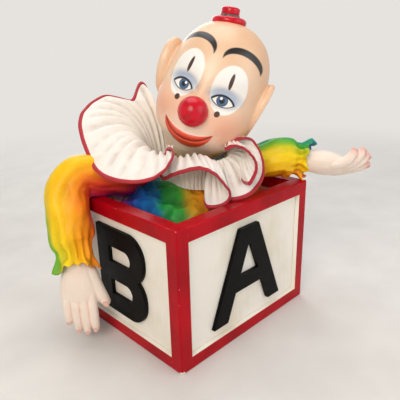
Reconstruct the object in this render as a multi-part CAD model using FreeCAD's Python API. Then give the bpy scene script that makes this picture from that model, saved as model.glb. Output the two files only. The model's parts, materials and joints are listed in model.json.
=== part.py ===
import FreeCAD
import Part
import math
import os
from FreeCAD import Matrix, Placement, Rotation, Vector

os.makedirs("parts", exist_ok=True)

# Jack in the box: a wooden letter block with a clown on a coil spring inside.
# Millimetres. The origin is the middle of the block's underside, +Z is up,
# -Y is the face with the letter A and -X the face with the letter B.
# Left and right are the clown's own.

# Block
box_width = 135.0
box_depth = 122.0
box_height = 100.0
frame_section = 9.5
frame_rounding = 1.2
panel_recess = 3.5
panel_thickness = 3.0
panel_groove = 2.5
board_thickness = 5.0
board_ledge = 5.0
screw_diameter = 2.0
screw_length = 8.6
screw_head_diameter = 3.8
screw_head_height = 1.4

# Letters
letter_height = 66.0
letter_thickness = 3.0
letter_stroke = 14.0
letter_a_width = 73.0
letter_a_top = 20.0
letter_a_bar_height = 20.0
letter_a_bar = 11.0
letter_b_width = 52.0
letter_c_width = 56.0
letter_d_width = 56.0
letter_rounding = 17.0

# Spring and its two wooden seats
spring_radius = 18.0
spring_wire = 2.0
spring_pitch = 9.5
seat_radius = 27.0
seat_height = 5.0
spigot_height = 9.0
cap_radius = 29.0
cap_thickness = 6.0
cap_depth = 40.0

# Clown's body and neck
body_hem_depth = 52.0
body_wall_gap = 2.5
body_folds = 12
body_fold_depth = 0.05
shoulder_rise = 10.0
shoulder_radius = 25.0
neck_post_radius = 6.0
neck_ball_radius = 11.0
neck_ball_rise = 23.5

# Head, nose and hat
head_width = 69.0
head_depth = 74.0
head_height = 92.5
head_foot = 4.0
head_wall = 5.0
head_lean = 24.0
head_lean_azimuth = -47.0
face_azimuth = -149.5
pour_hole_radius = 3.5
ear_height = 40.0
ear_length = 24.0
ear_thickness = 11.0
ear_rise = 48.5
ear_back = -2.0
ear_tilt = 6.0
ear_turn = 27.0
nose_radius = 9.7
nose_height = 32.5
hat_brim_radius = 10.8
hat_brim_thickness = 5.4
hat_band_radius = 6.8
hat_band_height = 2.2
hat_crown_radius = 6.3
hat_crown_height = 5.2
hat_sink = 1.8
hat_side = 8.5
hat_lean = 15.0

# Ruff
ruff_thickness = 1.2
ruff_neck_radius = 26.0
ruff_throat_radius = 33.0
ruff_throat_rise = 28.5
ruff_sections = 90
ruff_steps = 4

# Arms
sleeve_root_radius = 11.0
sleeve_elbow_radius = 13.2
elbow_ball_radius = 11.8
sleeve_full_radius = 14.4
sleeve_elastic_radius = 10.6
cuff_frill_radius = 16.0
cuff_folds = 10
cuff_fold_depth = 0.12
wrist_radius = 8.0
wrist_plug_length = 11.0
cuff_length = 4.0
elastic_offset = 4.5
sleeve_start_radius = 37.0
arm_root_rise = 7.5
elbow_swing = 50.0
elbow_gap = 1.0
elbow_overrun = 6.0
right_root_x = -22.0
right_root_y = 21.0
right_elbow_reach = 8.0
right_elbow_side = 38.0
right_elbow_lift = 2.8
right_wrist_out = 13.0
right_wrist_forward = 19.0
right_crease = -28.0
right_back = 188.0
hand_floor_gap = 10.0
left_root_x = 20.0
left_root_y = -13.0
left_elbow_reach = 50.0
left_elbow_lift = 5.0
left_forearm = 19.0
left_droop = 0.2
left_crease = -91.0
left_back = 116.0

# Hands
palm_length = 25.0
palm_width = 25.5
palm_thickness = 12.5
finger_length = 30.0
finger_radius = 3.1
thumb_length = 22.0
thumb_radius = 3.6
thumb_tilt = 34.0
thumb_root = 1.35
right_spread = 1.2
left_spread = 2.4

# Clearances
wood_fit = 0.1
glue_line = 0.05
cloth_gap = 0.3
swivel_fit = 0.06
socket_fit = 0.3
spring_fit = 0.3

cut_size = 400.0


# Small geometry helpers

def block(x0, x1, y0, y1, z0, z1):
    return Part.makeBox(x1 - x0, y1 - y0, z1 - z0, Vector(x0, y0, z0))


def rounded_edges(shape, radius, wanted):
    edges = [edge for edge in shape.Edges if wanted(edge.CenterOfMass)]
    return shape.makeFillet(radius, edges)


def near(a, b):
    return abs(a - b) < 1e-6


def unit(vector):
    return vector / vector.Length


def frame_of(axis, reference):
    """Two directions square to an axis, the first one nearest the reference."""
    side = unit(reference - axis * reference.dot(axis))
    return side, axis.cross(side)


def ring(centre, side, across, half_side, half_across, arcs=8, fold=0.0, squareness=2.0):
    """A closed wire of arcs; with a fold depth the arcs bulge as gathers do."""
    def point(turn, share):
        angle = 2.0 * math.pi * turn / arcs
        c, s = math.cos(angle), math.sin(angle)
        spread = (abs(c) / half_side) ** squareness + (abs(s) / half_across) ** squareness
        reach = share * spread ** (-1.0 / squareness)
        return centre + side * (reach * c) + across * (reach * s)

    edges = []
    for k in range(arcs):
        start, middle, end = point(k, 1.0 - fold), point(k + 0.5, 1.0), point(k + 1, 1.0 - fold)
        edges.append(Part.Arc(start, middle, end).toShape())
    return Part.Wire(edges)


def loft(wires):
    solid = Part.makeLoft(wires, True, False)
    if solid.Volume < 0:
        solid.reverse()
    return solid


def soft_tube(stations, reference, arcs=8):
    """A stuffed limb: a loft through (centre, half width, half height, fold) stations."""
    wires = []
    for i, (centre, wide, high, fold) in enumerate(stations):
        before = stations[max(i - 1, 0)][0]
        after = stations[min(i + 1, len(stations) - 1)][0]
        side, across = frame_of(unit(after - before), reference)
        wires.append(ring(centre, side, across, wide, high, arcs, fold))
    return loft(wires)


def half_space(origin, normal):
    """Everything on the side of a plane that its normal points to."""
    slab = Part.makeBox(cut_size, cut_size, cut_size, Vector(-cut_size / 2, -cut_size / 2, 0))
    slab.Placement = Placement(origin, Rotation(Vector(0, 0, 1), normal))
    return slab


def turned(profile):
    """A solid of revolution about Z from (radius, height) points."""
    points = [Vector(r, 0, z) for r, z in profile]
    face = Part.Face(Part.makePolygon(points + points[:1]))
    return face.revolve(Vector(0, 0, 0), Vector(0, 0, 1), 360)


def placed(shape, matrix):
    moved = shape.copy()
    moved.Placement = Placement(matrix).multiply(moved.Placement)
    return moved


def one_solid(shape):
    return max(shape.Solids, key=lambda solid: solid.Volume)


def save(name, shape):
    shape.exportStep("parts/%s.step" % name)


# Block: four posts, eight rails, four panels let into grooves, four raised letters

face_sizes = {
    "a": (box_width, box_depth, 0.0),
    "b": (box_depth, box_width, -90.0),
    "c": (box_width, box_depth, 180.0),
    "d": (box_depth, box_width, 90.0),
}
corner_signs = {"ab": (-1, -1), "bc": (-1, 1), "cd": (1, 1), "da": (1, -1)}


def on_face(shape, angle):
    shape.rotate(Vector(0, 0, 0), Vector(0, 0, 1), angle)
    return shape


def panel_slot(width, depth, extra):
    """The flat space of one panel, before its face is turned into place."""
    half = width / 2 - frame_section + panel_groove + extra
    front = -depth / 2 + panel_recess
    low = frame_section - panel_groove - extra
    high = box_height - frame_section + panel_groove + extra
    return block(-half, half, front - extra, front + panel_thickness + extra, low, high)


def board_shape(extra):
    """The base board with its corners cut away round the posts."""
    x_in, y_in = box_width / 2 - frame_section, box_depth / 2 - frame_section
    x_out, y_out = x_in + board_ledge + extra, y_in + board_ledge + extra
    top = board_thickness + extra
    wide = block(-x_out, x_out, -y_in, y_in, 0, top)
    deep = block(-x_in, x_in, -y_out, y_out, 0, top)
    return wide.fuse(deep).removeSplitter()


def screw_at(radius, head_radius):
    return turned([(0, 0), (head_radius, 0), (head_radius, screw_head_height / 2),
                   (radius, screw_head_height), (radius, screw_length), (0, screw_length)])


def screw_places():
    """Midway between a panel's groove and the inner face of its rail."""
    inset = (panel_recess + panel_thickness + frame_section) / 2
    for width, depth, angle in face_sizes.values():
        yield Vector(0, -depth / 2 + inset, 0), angle


def screws(extra):
    solids = []
    for place, angle in screw_places():
        solid = screw_at(screw_diameter / 2 + extra, screw_head_diameter / 2 + extra)
        solid.translate(place)
        solids.append(on_face(solid, angle))
    return solids


panel_slots = [on_face(panel_slot(w, d, wood_fit), angle) for w, d, angle in face_sizes.values()]
screw_holes = screws(glue_line)


def make_posts():
    for corner, (sx, sy) in corner_signs.items():
        x_out, y_out = sx * box_width / 2, sy * box_depth / 2
        x_in, y_in = x_out - sx * frame_section, y_out - sy * frame_section
        post = block(min(x_out, x_in), max(x_out, x_in), min(y_out, y_in), max(y_out, y_in), 0, box_height)

        def outer(c):
            upright = near(c.x, x_out) and near(c.y, y_out)
            level = near(c.z, 0) or near(c.z, box_height)
            return upright or (level and (near(c.x, x_out) or near(c.y, y_out)))

        post = rounded_edges(post, frame_rounding, outer)
        save("corner_post_" + corner, one_solid(post.cut(panel_slots)))


def make_rails():
    board_space = board_shape(wood_fit)
    for name, (width, depth, angle) in face_sizes.items():
        half, front = width / 2 - frame_section, -depth / 2
        back = front + frame_section
        heights = {"bottom": (0, frame_section), "top": (box_height - frame_section, box_height)}
        for level, (low, high) in heights.items():
            rail = block(-half, half, front, back, low, high)
            edge_z = low if level == "bottom" else high
            rail = rounded_edges(rail, frame_rounding, lambda c: near(c.y, front) and near(c.z, edge_z))
            rail = on_face(rail, angle).cut(panel_slots)
            if level == "bottom":
                rail = rail.cut([board_space] + screw_holes)
            save("%s_rail_%s" % (level, name), one_solid(rail))


def make_panels():
    for name, (width, depth, angle) in face_sizes.items():
        save("side_panel_" + name, on_face(panel_slot(width, depth, 0.0), angle))


def slab_outline(width, low, high, rounding, left=0.0):
    """A plate in the letter plane, square on its left and rounded on its right."""
    r = min(rounding, (high - low) / 2 - 0.01)
    k = r * (1 - math.sqrt(0.5))
    top_start, top_end = Vector(width - r, 0, high), Vector(width, 0, high - r)
    low_start, low_end = Vector(width, 0, low + r), Vector(width - r, 0, low)
    edges = [
        Part.makeLine(Vector(left, 0, low), Vector(left, 0, high)),
        Part.makeLine(Vector(left, 0, high), top_start),
        Part.Arc(top_start, Vector(width - k, 0, high - k), top_end).toShape(),
        Part.makeLine(top_end, low_start),
        Part.Arc(low_start, Vector(width - k, 0, low + k), low_end).toShape(),
        Part.makeLine(low_end, Vector(left, 0, low)),
    ]
    return Part.Face(Part.Wire(edges)).extrude(Vector(0, letter_thickness, 0))


def polygon_plate(points):
    corners = [Vector(x, 0, z) for x, z in points]
    return Part.Face(Part.makePolygon(corners + corners[:1])).extrude(Vector(0, letter_thickness, 0))


def letter_a():
    half, top = letter_a_width / 2, letter_a_top / 2

    def inner(z):
        return half - letter_stroke - (half - top) * z / letter_height

    bar_low, bar_high = letter_a_bar_height, letter_a_bar_height + letter_a_bar
    peak = letter_height - letter_stroke
    plate = polygon_plate([(-half, 0), (-top, letter_height), (top, letter_height), (half, 0)])
    gap = polygon_plate([(-inner(0), 0), (-inner(bar_low), bar_low), (inner(bar_low), bar_low),
                         (inner(0), 0)])
    eye = polygon_plate([(-inner(bar_high), bar_high), (-inner(peak), peak), (inner(peak), peak),
                         (inner(bar_high), bar_high)])
    return plate.cut([gap, eye]), 0.0


def letter_b():
    middle = letter_height / 2
    lap = letter_stroke / 4
    plate = slab_outline(letter_b_width, 0, middle + lap, letter_rounding)
    plate = plate.fuse(slab_outline(letter_b_width, middle - lap, letter_height, letter_rounding))
    inner_width, inner_round = letter_b_width - letter_stroke, letter_rounding / 2
    waist = letter_stroke / 2
    lower = slab_outline(inner_width, letter_stroke, middle - waist, inner_round, letter_stroke)
    upper = slab_outline(inner_width, middle + waist, letter_height - letter_stroke, inner_round,
                         letter_stroke)
    return plate.cut([lower, upper]), letter_b_width / 2


def letter_c():
    ring_plate = slab_outline(letter_c_width, 0, letter_height, letter_rounding)
    ring_plate = ring_plate.mirror(Vector(letter_c_width / 2, 0, 0), Vector(1, 0, 0))
    hole = slab_outline(letter_c_width - letter_stroke, letter_stroke, letter_height - letter_stroke,
                        letter_rounding / 2, -1.0)
    hole = hole.mirror(Vector(letter_c_width / 2, 0, 0), Vector(1, 0, 0))
    return ring_plate.cut(hole), letter_c_width / 2


def letter_d():
    plate = slab_outline(letter_d_width, 0, letter_height, letter_height * 0.45)
    hole = slab_outline(letter_d_width - letter_stroke, letter_stroke, letter_height - letter_stroke,
                        letter_height * 0.25, letter_stroke)
    return plate.cut(hole), letter_d_width / 2


def make_letters():
    makers = {"a": letter_a, "b": letter_b, "c": letter_c, "d": letter_d}
    for name, (width, depth, angle) in face_sizes.items():
        letter, centre = makers[name]()
        letter = one_solid(letter.removeSplitter())
        back = -depth / 2 + panel_recess
        letter.translate(Vector(-centre, back - letter_thickness, (box_height - letter_height) / 2))
        save("letter_" + name, on_face(letter, angle))


def make_base():
    board = board_shape(0.0).cut(screw_holes)
    save("base_board", one_solid(board))
    save("base_screws", Part.makeCompound(screws(0.0)))


# Spring between two turned seats

seat_top = board_thickness + seat_height
cap_top = box_height - cap_depth
cap_bottom = cap_top - cap_thickness
spigot_radius = spring_radius - spring_wire / 2 - spring_fit


def make_seats():
    seat = turned([(0, board_thickness), (seat_radius, board_thickness), (seat_radius, seat_top),
                   (spigot_radius, seat_top), (spigot_radius, seat_top + spigot_height),
                   (0, seat_top + spigot_height)])
    cap = turned([(0, cap_bottom - spigot_height), (spigot_radius, cap_bottom - spigot_height),
                  (spigot_radius, cap_bottom), (cap_radius, cap_bottom), (cap_radius, cap_top), (0, cap_top)])
    bore = Part.makeCylinder(neck_post_radius + glue_line, cap_thickness + spigot_height,
                             Vector(0, 0, cap_bottom - spigot_height / 2))
    save("spring_seat", seat)
    save("spring_cap", cap.cut(bore))


def biarc(p0, t0, p1, t1):
    """Two tangent arcs from one point and direction to another."""
    chord = p1 - p0
    both = t0 + t1
    bend = 2 * (1 - t0.dot(t1))
    along = chord.dot(both)
    reach = (-along + math.sqrt(along * along + bend * chord.dot(chord))) / bend
    joint = (p0 + p1 + (t0 - t1) * reach) / 2

    def arc(start, corner, end):
        middle = (start + end) / 2
        slope = math.atan2((corner - middle).Length, (end - start).Length / 2)
        lift = (end - start).Length / 2 * math.tan(slope / 2)
        return Part.Arc(start, middle + unit(corner - middle) * lift, end).toShape()

    return [arc(p0, p0 + t0 * reach, joint), arc(joint, p1 - t1 * reach, p1)]


def make_spring():
    low = seat_top + spring_wire / 2 + spring_fit
    high = cap_bottom - spring_wire / 2 - spring_fit
    halves = 2 * max(2, round((high - low) / spring_pitch))
    pitch = 2 * (high - low) / halves

    def point(half):
        angle = half * math.pi
        return Vector(spring_radius * math.cos(angle), spring_radius * math.sin(angle),
                      low + pitch * half / 2)

    def direction(half):
        angle = half * math.pi
        return unit(Vector(-spring_radius * math.sin(angle), spring_radius * math.cos(angle),
                           pitch / (2 * math.pi)))

    edges = []
    for half in range(halves):
        edges += biarc(point(half), direction(half), point(half + 1), direction(half + 1))
    section = Part.Wire(Part.makeCircle(spring_wire / 2, point(0), direction(0)))
    coil = Part.Wire(edges).makePipeShell([section], True, False)
    print("spring turns", halves / 2, "least gap between turns", round(pitch - spring_wire, 2))
    save("coil_spring", one_solid(coil))


# Cloth body and the neck post with its ball

shoulder_z = box_height + shoulder_rise
neck_centre = Vector(0, 0, box_height + neck_ball_rise)


def body_solid():
    half_x = box_width / 2 - frame_section - body_wall_gap
    half_y = box_depth / 2 - frame_section - body_wall_gap
    levels = [(-body_hem_depth, 0.86), (-body_hem_depth * 0.5, 1.0), (-6.0, 0.98)]
    wires = []
    for rise, share in levels:
        wires.append(ring(Vector(0, 0, box_height + rise), Vector(1, 0, 0), Vector(0, 1, 0), half_x * share,
                          half_y * share, body_folds, body_fold_depth, 4.0))
    slopes = [(0.25, 0.55, 2.6), (0.62, 0.2, 2.1), (1.0, 0.0, 2.0)]
    for share, width, squareness in slopes:
        x = shoulder_radius + (half_x - shoulder_radius) * width
        y = shoulder_radius + (half_y - shoulder_radius) * width
        centre = Vector(0, 0, box_height + shoulder_rise * share)
        wires.append(ring(centre, Vector(1, 0, 0), Vector(0, 1, 0), x, y, body_folds, body_fold_depth,
                          squareness))
    return loft(wires)


def make_neck_post():
    foot = cap_bottom
    post = Part.makeCylinder(neck_post_radius, neck_centre.z - foot, Vector(0, 0, foot))
    save("neck_post", post.fuse(Part.makeSphere(neck_ball_radius, neck_centre)).removeSplitter())


def make_body():
    hem = box_height - body_hem_depth
    body = body_solid()
    pocket = Part.makeCylinder(cap_radius + cloth_gap, cap_top + cloth_gap - hem, Vector(0, 0, hem))
    bore = Part.makeCylinder(neck_post_radius + cloth_gap, box_height, Vector(0, 0, hem))
    body = one_solid(body.cut([pocket, bore]))
    save("body_cloth", body)
    return body


# Head, turned and leaning on the neck ball

head_up = Vector(math.sin(math.radians(head_lean)) * math.cos(math.radians(head_lean_azimuth)),
                 math.sin(math.radians(head_lean)) * math.sin(math.radians(head_lean_azimuth)),
                 math.cos(math.radians(head_lean)))
level_face = Vector(math.cos(math.radians(face_azimuth)), math.sin(math.radians(face_azimuth)), 0)
face_ahead = frame_of(head_up, level_face)[0]
head_side = head_up.cross(face_ahead)


def in_head(shape):
    """From the head's own frame, face to -Y and +Z up from the neck ball, to its place."""
    back = face_ahead * -1
    place = Matrix(head_side.x, back.x, head_up.x, neck_centre.x,
                   head_side.y, back.y, head_up.y, neck_centre.y,
                   head_side.z, back.z, head_up.z, neck_centre.z,
                   0, 0, 0, 1)
    return placed(shape, place)


# Height, half width and half depth as shares of the head's size, and shift to the back
head_outline = [
    (-0.04, 0.46, 0.42, 0.00),
    (0.06, 0.62, 0.60, -0.04),
    (0.16, 0.84, 0.85, -0.07),
    (0.32, 0.99, 0.99, -0.05),
    (0.52, 1.00, 1.00, -0.01),
    (0.70, 0.95, 0.97, 0.01),
    (0.84, 0.80, 0.84, 0.02),
    (0.94, 0.55, 0.58, 0.03),
    (0.99, 0.24, 0.25, 0.03),
]


def ellipsoid(width, depth, height, centre):
    scale = Matrix()
    scale.scale(width, depth, height)
    solid = Part.makeSphere(0.5).transformGeometry(scale)
    solid.translate(centre)
    return solid


def head_loft():
    wires = []
    for share, wide, deep, shift in head_outline:
        centre = Vector(0, shift * head_depth, head_foot + share * head_height)
        half_wide, half_deep = wide * head_width / 2, deep * head_depth / 2
        wires.append(ring(centre, Vector(1, 0, 0), Vector(0, 1, 0), half_wide, half_deep, 4))
    return loft(wires)


def head_parts():
    skull = head_loft()
    floor = neck_ball_radius + head_wall
    ceiling = head_foot + head_height - head_wall
    hollow = ellipsoid(head_width - 2 * head_wall, head_depth - 2 * head_wall, ceiling - floor,
                       Vector(0, 0, (floor + ceiling) / 2))
    socket = Part.makeSphere(neck_ball_radius + socket_fit)
    mouth = Part.makeCylinder(neck_ball_radius + socket_fit, head_height, Vector(0, 0, -head_height))
    pour_hole = Part.makeCylinder(pour_hole_radius, floor + head_wall * 2)
    ears = []
    for side in (-1, 1):
        ear = ellipsoid(ear_thickness, ear_length, ear_height, Vector(0, 0, 0))
        ear.rotate(Vector(0, 0, 0), Vector(0, 1, 0), side * ear_tilt)
        ear.rotate(Vector(0, 0, 0), Vector(0, 0, 1), side * ear_turn)
        ear.translate(Vector(side * head_width / 2, ear_back, head_foot + ear_rise))
        ears.append(ear)
    head = skull.fuse(ears).cut([hollow, socket, mouth, pour_hole])
    return skull, one_solid(head)


def make_head():
    skull, head = head_parts()
    save("head", in_head(head))
    nose_place = Vector(0, -head_depth / 2 - nose_radius * 0.45, head_foot + nose_height)
    nose = Part.makeSphere(nose_radius, nose_place)
    save("nose", in_head(one_solid(nose.cut(skull))))

    seat = Vector(-hat_side, head_depth * head_outline[-1][3],
                  head_foot + head_height * head_outline[-1][0] - hat_sink)
    tilt = Placement(seat, Rotation(Vector(0, 1, 0), -hat_lean))

    def on_seat(shape):
        return placed(shape, tilt.toMatrix())

    brim = Part.makeTorus(hat_brim_radius - hat_brim_thickness / 2, hat_brim_thickness / 2)
    brim = brim.fuse(Part.makeCylinder(hat_brim_radius - hat_brim_thickness / 2, hat_brim_thickness,
                                       Vector(0, 0, -hat_brim_thickness / 2)))
    save("hat_brim", in_head(one_solid(on_seat(brim).cut(skull).removeSplitter())))
    top = hat_brim_thickness / 2
    band = Part.makeCylinder(hat_band_radius, hat_band_height, Vector(0, 0, top))
    save("hat_band", in_head(on_seat(band)))
    top += hat_band_height
    crown = Part.makeCylinder(hat_crown_radius, hat_crown_height, Vector(0, 0, top))
    crown = rounded_edges(crown, hat_crown_radius * 0.35, lambda c: near(c.z, top + hat_crown_height))
    save("hat_crown", in_head(on_seat(crown)))


# Ruff: a thin flounced ring; its edge passes through these keys, each an angle about
# the neck in degrees from the block's near corner, a reach and a rise above the rim

ruff_edge = [
    (-138, 51, 70), (-121, 48, 60), (-106, 63, 64), (-94, 74, 57), (-85, 76, 46), (-72, 71, 29),
    (-57, 68, 20), (-41, 62, 17), (-25, 58, 19), (-13, 57, 26), (-7, 50, 31), (-1, 44, 26),
    (8, 50, 26), (17, 58, 25), (23, 65, 16), (27, 60, 7), (34, 46, 9), (40, 42, 22),
    (46, 49, 33), (53, 56, 30), (58, 56, 18), (63, 51, 13), (70, 47, 19), (78, 49, 31), (86, 56, 27),
    (95, 54, 33), (108, 61, 27), (123, 51, 18), (139, 60, 31), (155, 61, 22), (170, 50, 18), (185, 58, 33),
    (198, 61, 29), (211, 48, 42),
]
near_corner_azimuth = 225.0


def ruff_edge_at(share):
    """A smooth closed curve through the keys; share runs from 0 to 1 round the neck."""
    count = len(ruff_edge)
    place = share * count
    start = math.floor(place)
    t = place - start
    keys = []
    for k in range(start - 1, start + 3):
        angle, reach, rise = ruff_edge[k % count]
        keys.append((angle + 360.0 * (k // count), reach, rise))
    values = []
    for a, b, c, d in zip(*keys):
        values.append(b + 0.5 * t * (c - a + t * (2 * a - 5 * b + 4 * c - d + t * (3 * (b - c) + d - a))))
    return values


def ruff_point(share, t):
    angle, reach, rise = ruff_edge_at(share % 1.0)
    inner_angle = ruff_edge[0][0] + 360.0 * (share % 1.0)
    throat = ruff_throat_rise
    profile = [
        (ruff_neck_radius, shoulder_rise + cloth_gap, inner_angle),
        (ruff_throat_radius, throat, inner_angle),
        (ruff_throat_radius + 0.55 * (reach - ruff_throat_radius), rise + 0.45 * (throat - rise), angle),
        (reach, rise, angle),
    ]
    weights = ((1 - t) ** 3, 3 * t * (1 - t) ** 2, 3 * t * t * (1 - t), t ** 3)
    radius = sum(w * p[0] for w, p in zip(weights, profile))
    height = sum(w * p[1] for w, p in zip(weights, profile))
    turn = sum(w * p[2] for w, p in zip(weights, profile))
    bearing = math.radians(near_corner_azimuth + turn)
    return Vector(radius * math.cos(bearing), radius * math.sin(bearing), box_height + height)


def ruff_normal(share, t):
    step = 0.002
    along = ruff_point(share + step, t) - ruff_point(share - step, t)
    out = ruff_point(share, min(t + step, 1.0)) - ruff_point(share, max(t - step, 0.0))
    return unit(out.cross(along))


def make_ruff():
    loops = []
    for i in range(ruff_sections):
        share = i / ruff_sections
        upper, lower = [], []
        for k in range(ruff_steps + 1):
            t = k / ruff_steps
            middle, lift = ruff_point(share, t), ruff_normal(share, t) * (ruff_thickness / 2)
            upper.append(middle + lift)
            lower.append(middle - lift)
        loops.append(upper + lower[::-1])
    faces = []
    for i in range(ruff_sections):
        here, there = loops[i], loops[(i + 1) % ruff_sections]
        for k in range(len(here)):
            n = (k + 1) % len(here)
            for corners in ((here[k], here[n], there[n]), (here[k], there[n], there[k])):
                faces.append(Part.Face(Part.makePolygon(corners + corners[:1])))
    skin = Part.makeCompound(faces)
    skin.sewShape()
    ruff = Part.makeSolid(skin.Shells[0])
    if ruff.Volume < 0:
        ruff.reverse()
    save("ruff_collar", ruff)


# Arms: each sleeve is an upper part on the body and a lower part that swings at the elbow

def sector(shape, pivot, axis, zero, low, high):
    """Keep what lies between two angles about an axis; angles start at the zero direction."""
    other = axis.cross(zero)
    for angle, sign in ((low, -1), (high, 1)):
        a = math.radians(angle)
        normal = (other * math.cos(a) - zero * math.sin(a)) * sign
        shape = shape.cut(half_space(pivot, normal))
    return shape


def split_elbow(upper, lower, hole, pivot, axis, zero, crease, back):
    """A ball on the lower sleeve sits in a hollow in the end of the upper one."""
    upper = sector(upper, pivot, axis, zero, back, crease + 360.0)
    upper = upper.cut(Part.makeSphere(elbow_ball_radius + cloth_gap, pivot, zero))
    lower = sector(lower, pivot, axis, zero, crease + elbow_gap, back - elbow_swing - elbow_gap)
    lower = lower.fuse(Part.makeSphere(elbow_ball_radius, pivot, zero))
    return one_solid(upper), one_solid(lower.cut(hole))


def cuffed_sleeve(elbow, bends, wrist, heading, reference):
    """The lower sleeve: it swells, is drawn in at the elastic and ends in a frill."""
    stations = [(elbow, sleeve_elbow_radius, sleeve_elbow_radius, 0.0)]
    for place, radius in bends:
        stations.append((place, radius, radius, 0.015))
    elastic = wrist - heading * elastic_offset
    stations.append((elastic, sleeve_elastic_radius, sleeve_elastic_radius, cuff_fold_depth * 0.4))
    frill = wrist + heading * cuff_length
    stations.append((frill, cuff_frill_radius, cuff_frill_radius, cuff_fold_depth))
    return soft_tube(stations, reference, cuff_folds)


def wrist_hole(wrist, heading):
    """The bore that the wrist turns in, and the open mouth of the frill."""
    radius, depth = wrist_radius + swivel_fit, wrist_plug_length + cloth_gap
    bore = Part.makeCylinder(radius, depth, wrist - heading * depth, heading)
    return bore.fuse(Part.makeCone(radius, cuff_frill_radius * 0.8, cuff_length + 1.0, wrist, heading))


def hand_solid(thumb_side, curls, spread):
    """A hand along +Z from the wrist, palm to -Y, thumb to +X or -X."""
    half = palm_width / 2
    palm_rings = [(0.0, 0.58, 0.56), (0.2, 0.76, 0.58), (0.45, 0.92, 0.54), (0.75, 1.0, 0.48),
                  (0.95, 0.96, 0.39), (1.08, 0.72, 0.22)]
    wires = []
    for share, wide, thick in palm_rings:
        wires.append(ring(Vector(0, 0, share * palm_length), Vector(1, 0, 0), Vector(0, 1, 0),
                          half * wide, palm_thickness * thick))
    pieces = [loft(wires)]
    pieces.append(Part.makeCylinder(wrist_radius, wrist_plug_length + 1.0, Vector(0, 0, -wrist_plug_length)))

    def finger(base, tilt, bend, length, radius, root=1.0):
        lean, fold = math.radians(tilt), math.radians(bend)
        ahead = Vector(math.sin(lean), 0, math.cos(lean))

        def bent(share):
            return ahead * math.cos(share * fold) - Vector(0, 1, 0) * math.sin(share * fold)

        knuckle = base + bent(0.4) * (length * 0.42)
        last = knuckle + bent(1.2) * (length * 0.34)
        tip = last + bent(2.0) * (length * 0.24)
        stations = [(base, radius * root, radius * root, 0.0), (knuckle, radius * 0.97, radius * 0.97, 0.0),
                    (last, radius * 0.86, radius * 0.86, 0.0), (tip, radius * 0.45, radius * 0.45, 0.0)]
        return soft_tube(stations, Vector(1, 0, 0), 4)

    shares = [(0.72, 0.92, 1.6), (0.24, 1.0, 0.5), (-0.24, 0.95, -0.5), (-0.72, 0.74, -1.7)]
    for (across, long_share, fan), curl in zip(shares, curls):
        base = Vector(thumb_side * across * half * 0.98, 0.3, palm_length * 0.86)
        radius = finger_radius * (0.75 + 0.25 * long_share)
        pieces.append(finger(base, thumb_side * fan * spread, curl, finger_length * long_share, radius))
    thumb_base = Vector(thumb_side * half * 0.62, -1.2, palm_length * 0.3)
    pieces.append(finger(thumb_base, thumb_side * thumb_tilt, curls[0] * 0.6, thumb_length, thumb_radius,
                         thumb_root))
    return one_solid(pieces[0].fuse(pieces[1:]))


def place_hand(hand, wrist, heading, palm):
    """Put a hand's +Z along its heading with its palm turned to a direction."""
    palm_way = frame_of(heading, palm)[0]
    back = palm_way * -1
    side = back.cross(heading)
    matrix = Matrix(side.x, back.x, heading.x, wrist.x, side.y, back.y, heading.y, wrist.y,
                    side.z, back.z, heading.z, wrist.z, 0, 0, 0, 1)
    return placed(hand, matrix)


hand_reach = palm_length * 0.86 + finger_length


# Bend of each finger in degrees, from the first finger to the little one
right_curls = (10.0, 11.0, 12.0, 13.0)
left_curls = (13.0, 22.0, 28.0, 34.0)
left_palm_way = Vector(0.34, 0.34, 0.88)
right_palm_way = Vector(1, 1, 0)
right_hand_way = Vector(-7.0, -8.5, -43.0)
left_arm_way = Vector(0.735, -0.678, 0)
# Where the hanging sleeve bends: out, forward, share of the drop and change of radius
right_sleeve_bends = [(7.0, 4.0, 0.26, -0.8), (10.5, 10.0, 0.57, -0.2), (12.0, 14.5, 0.80, -0.4)]


def upper_sleeve(root, elbow, swell, onward, larger):
    """From the shoulder to just past the elbow, cut by what it lies against."""
    stations = [(root, sleeve_root_radius, sleeve_root_radius, 0.0),
                ((root + elbow) / 2, sleeve_root_radius * swell, sleeve_root_radius * swell, 0.0),
                (elbow, sleeve_elbow_radius, sleeve_elbow_radius, 0.0),
                (elbow + onward * elbow_overrun, sleeve_elbow_radius, sleeve_elbow_radius, 0.0)]
    throat = Part.makeCylinder(sleeve_start_radius, cut_size, Vector(0, 0, 0))
    return one_solid(soft_tube(stations, Vector(0, 0, 1), cuff_folds).cut([throat, larger]))


def make_right_arm(body):
    elbow = Vector(-box_width / 2 - right_elbow_reach, right_elbow_side,
                   box_height + sleeve_elbow_radius + right_elbow_lift)
    heading = unit(right_hand_way)
    wrist_z = hand_floor_gap - heading.z * hand_reach
    wrist = Vector(elbow.x - right_wrist_out, elbow.y - right_wrist_forward, wrist_z)
    bends = []
    for out, forward, share, change in right_sleeve_bends:
        place = Vector(elbow.x - out, elbow.y - forward, elbow.z - share * (elbow.z - wrist.z))
        bends.append((place, sleeve_full_radius + change))
    root = Vector(right_root_x, right_root_y, box_height + arm_root_rise)
    upper = upper_sleeve(root, elbow, 1.06, unit(elbow - root), body)
    lower = cuffed_sleeve(elbow, bends, wrist, heading, Vector(1, 0, 0))
    axis, down = Vector(0, 1, 0), Vector(0, 0, -1)
    hole = wrist_hole(wrist, heading)
    upper, lower = split_elbow(upper, lower, hole, elbow, axis, down, right_crease, right_back)
    save("right_upper_sleeve", upper)
    save("right_lower_sleeve", lower)
    save("right_hand", place_hand(hand_solid(1, right_curls, right_spread), wrist, heading, right_palm_way))
    print("right elbow", elbow, "wrist", wrist, "heading", heading)


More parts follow.
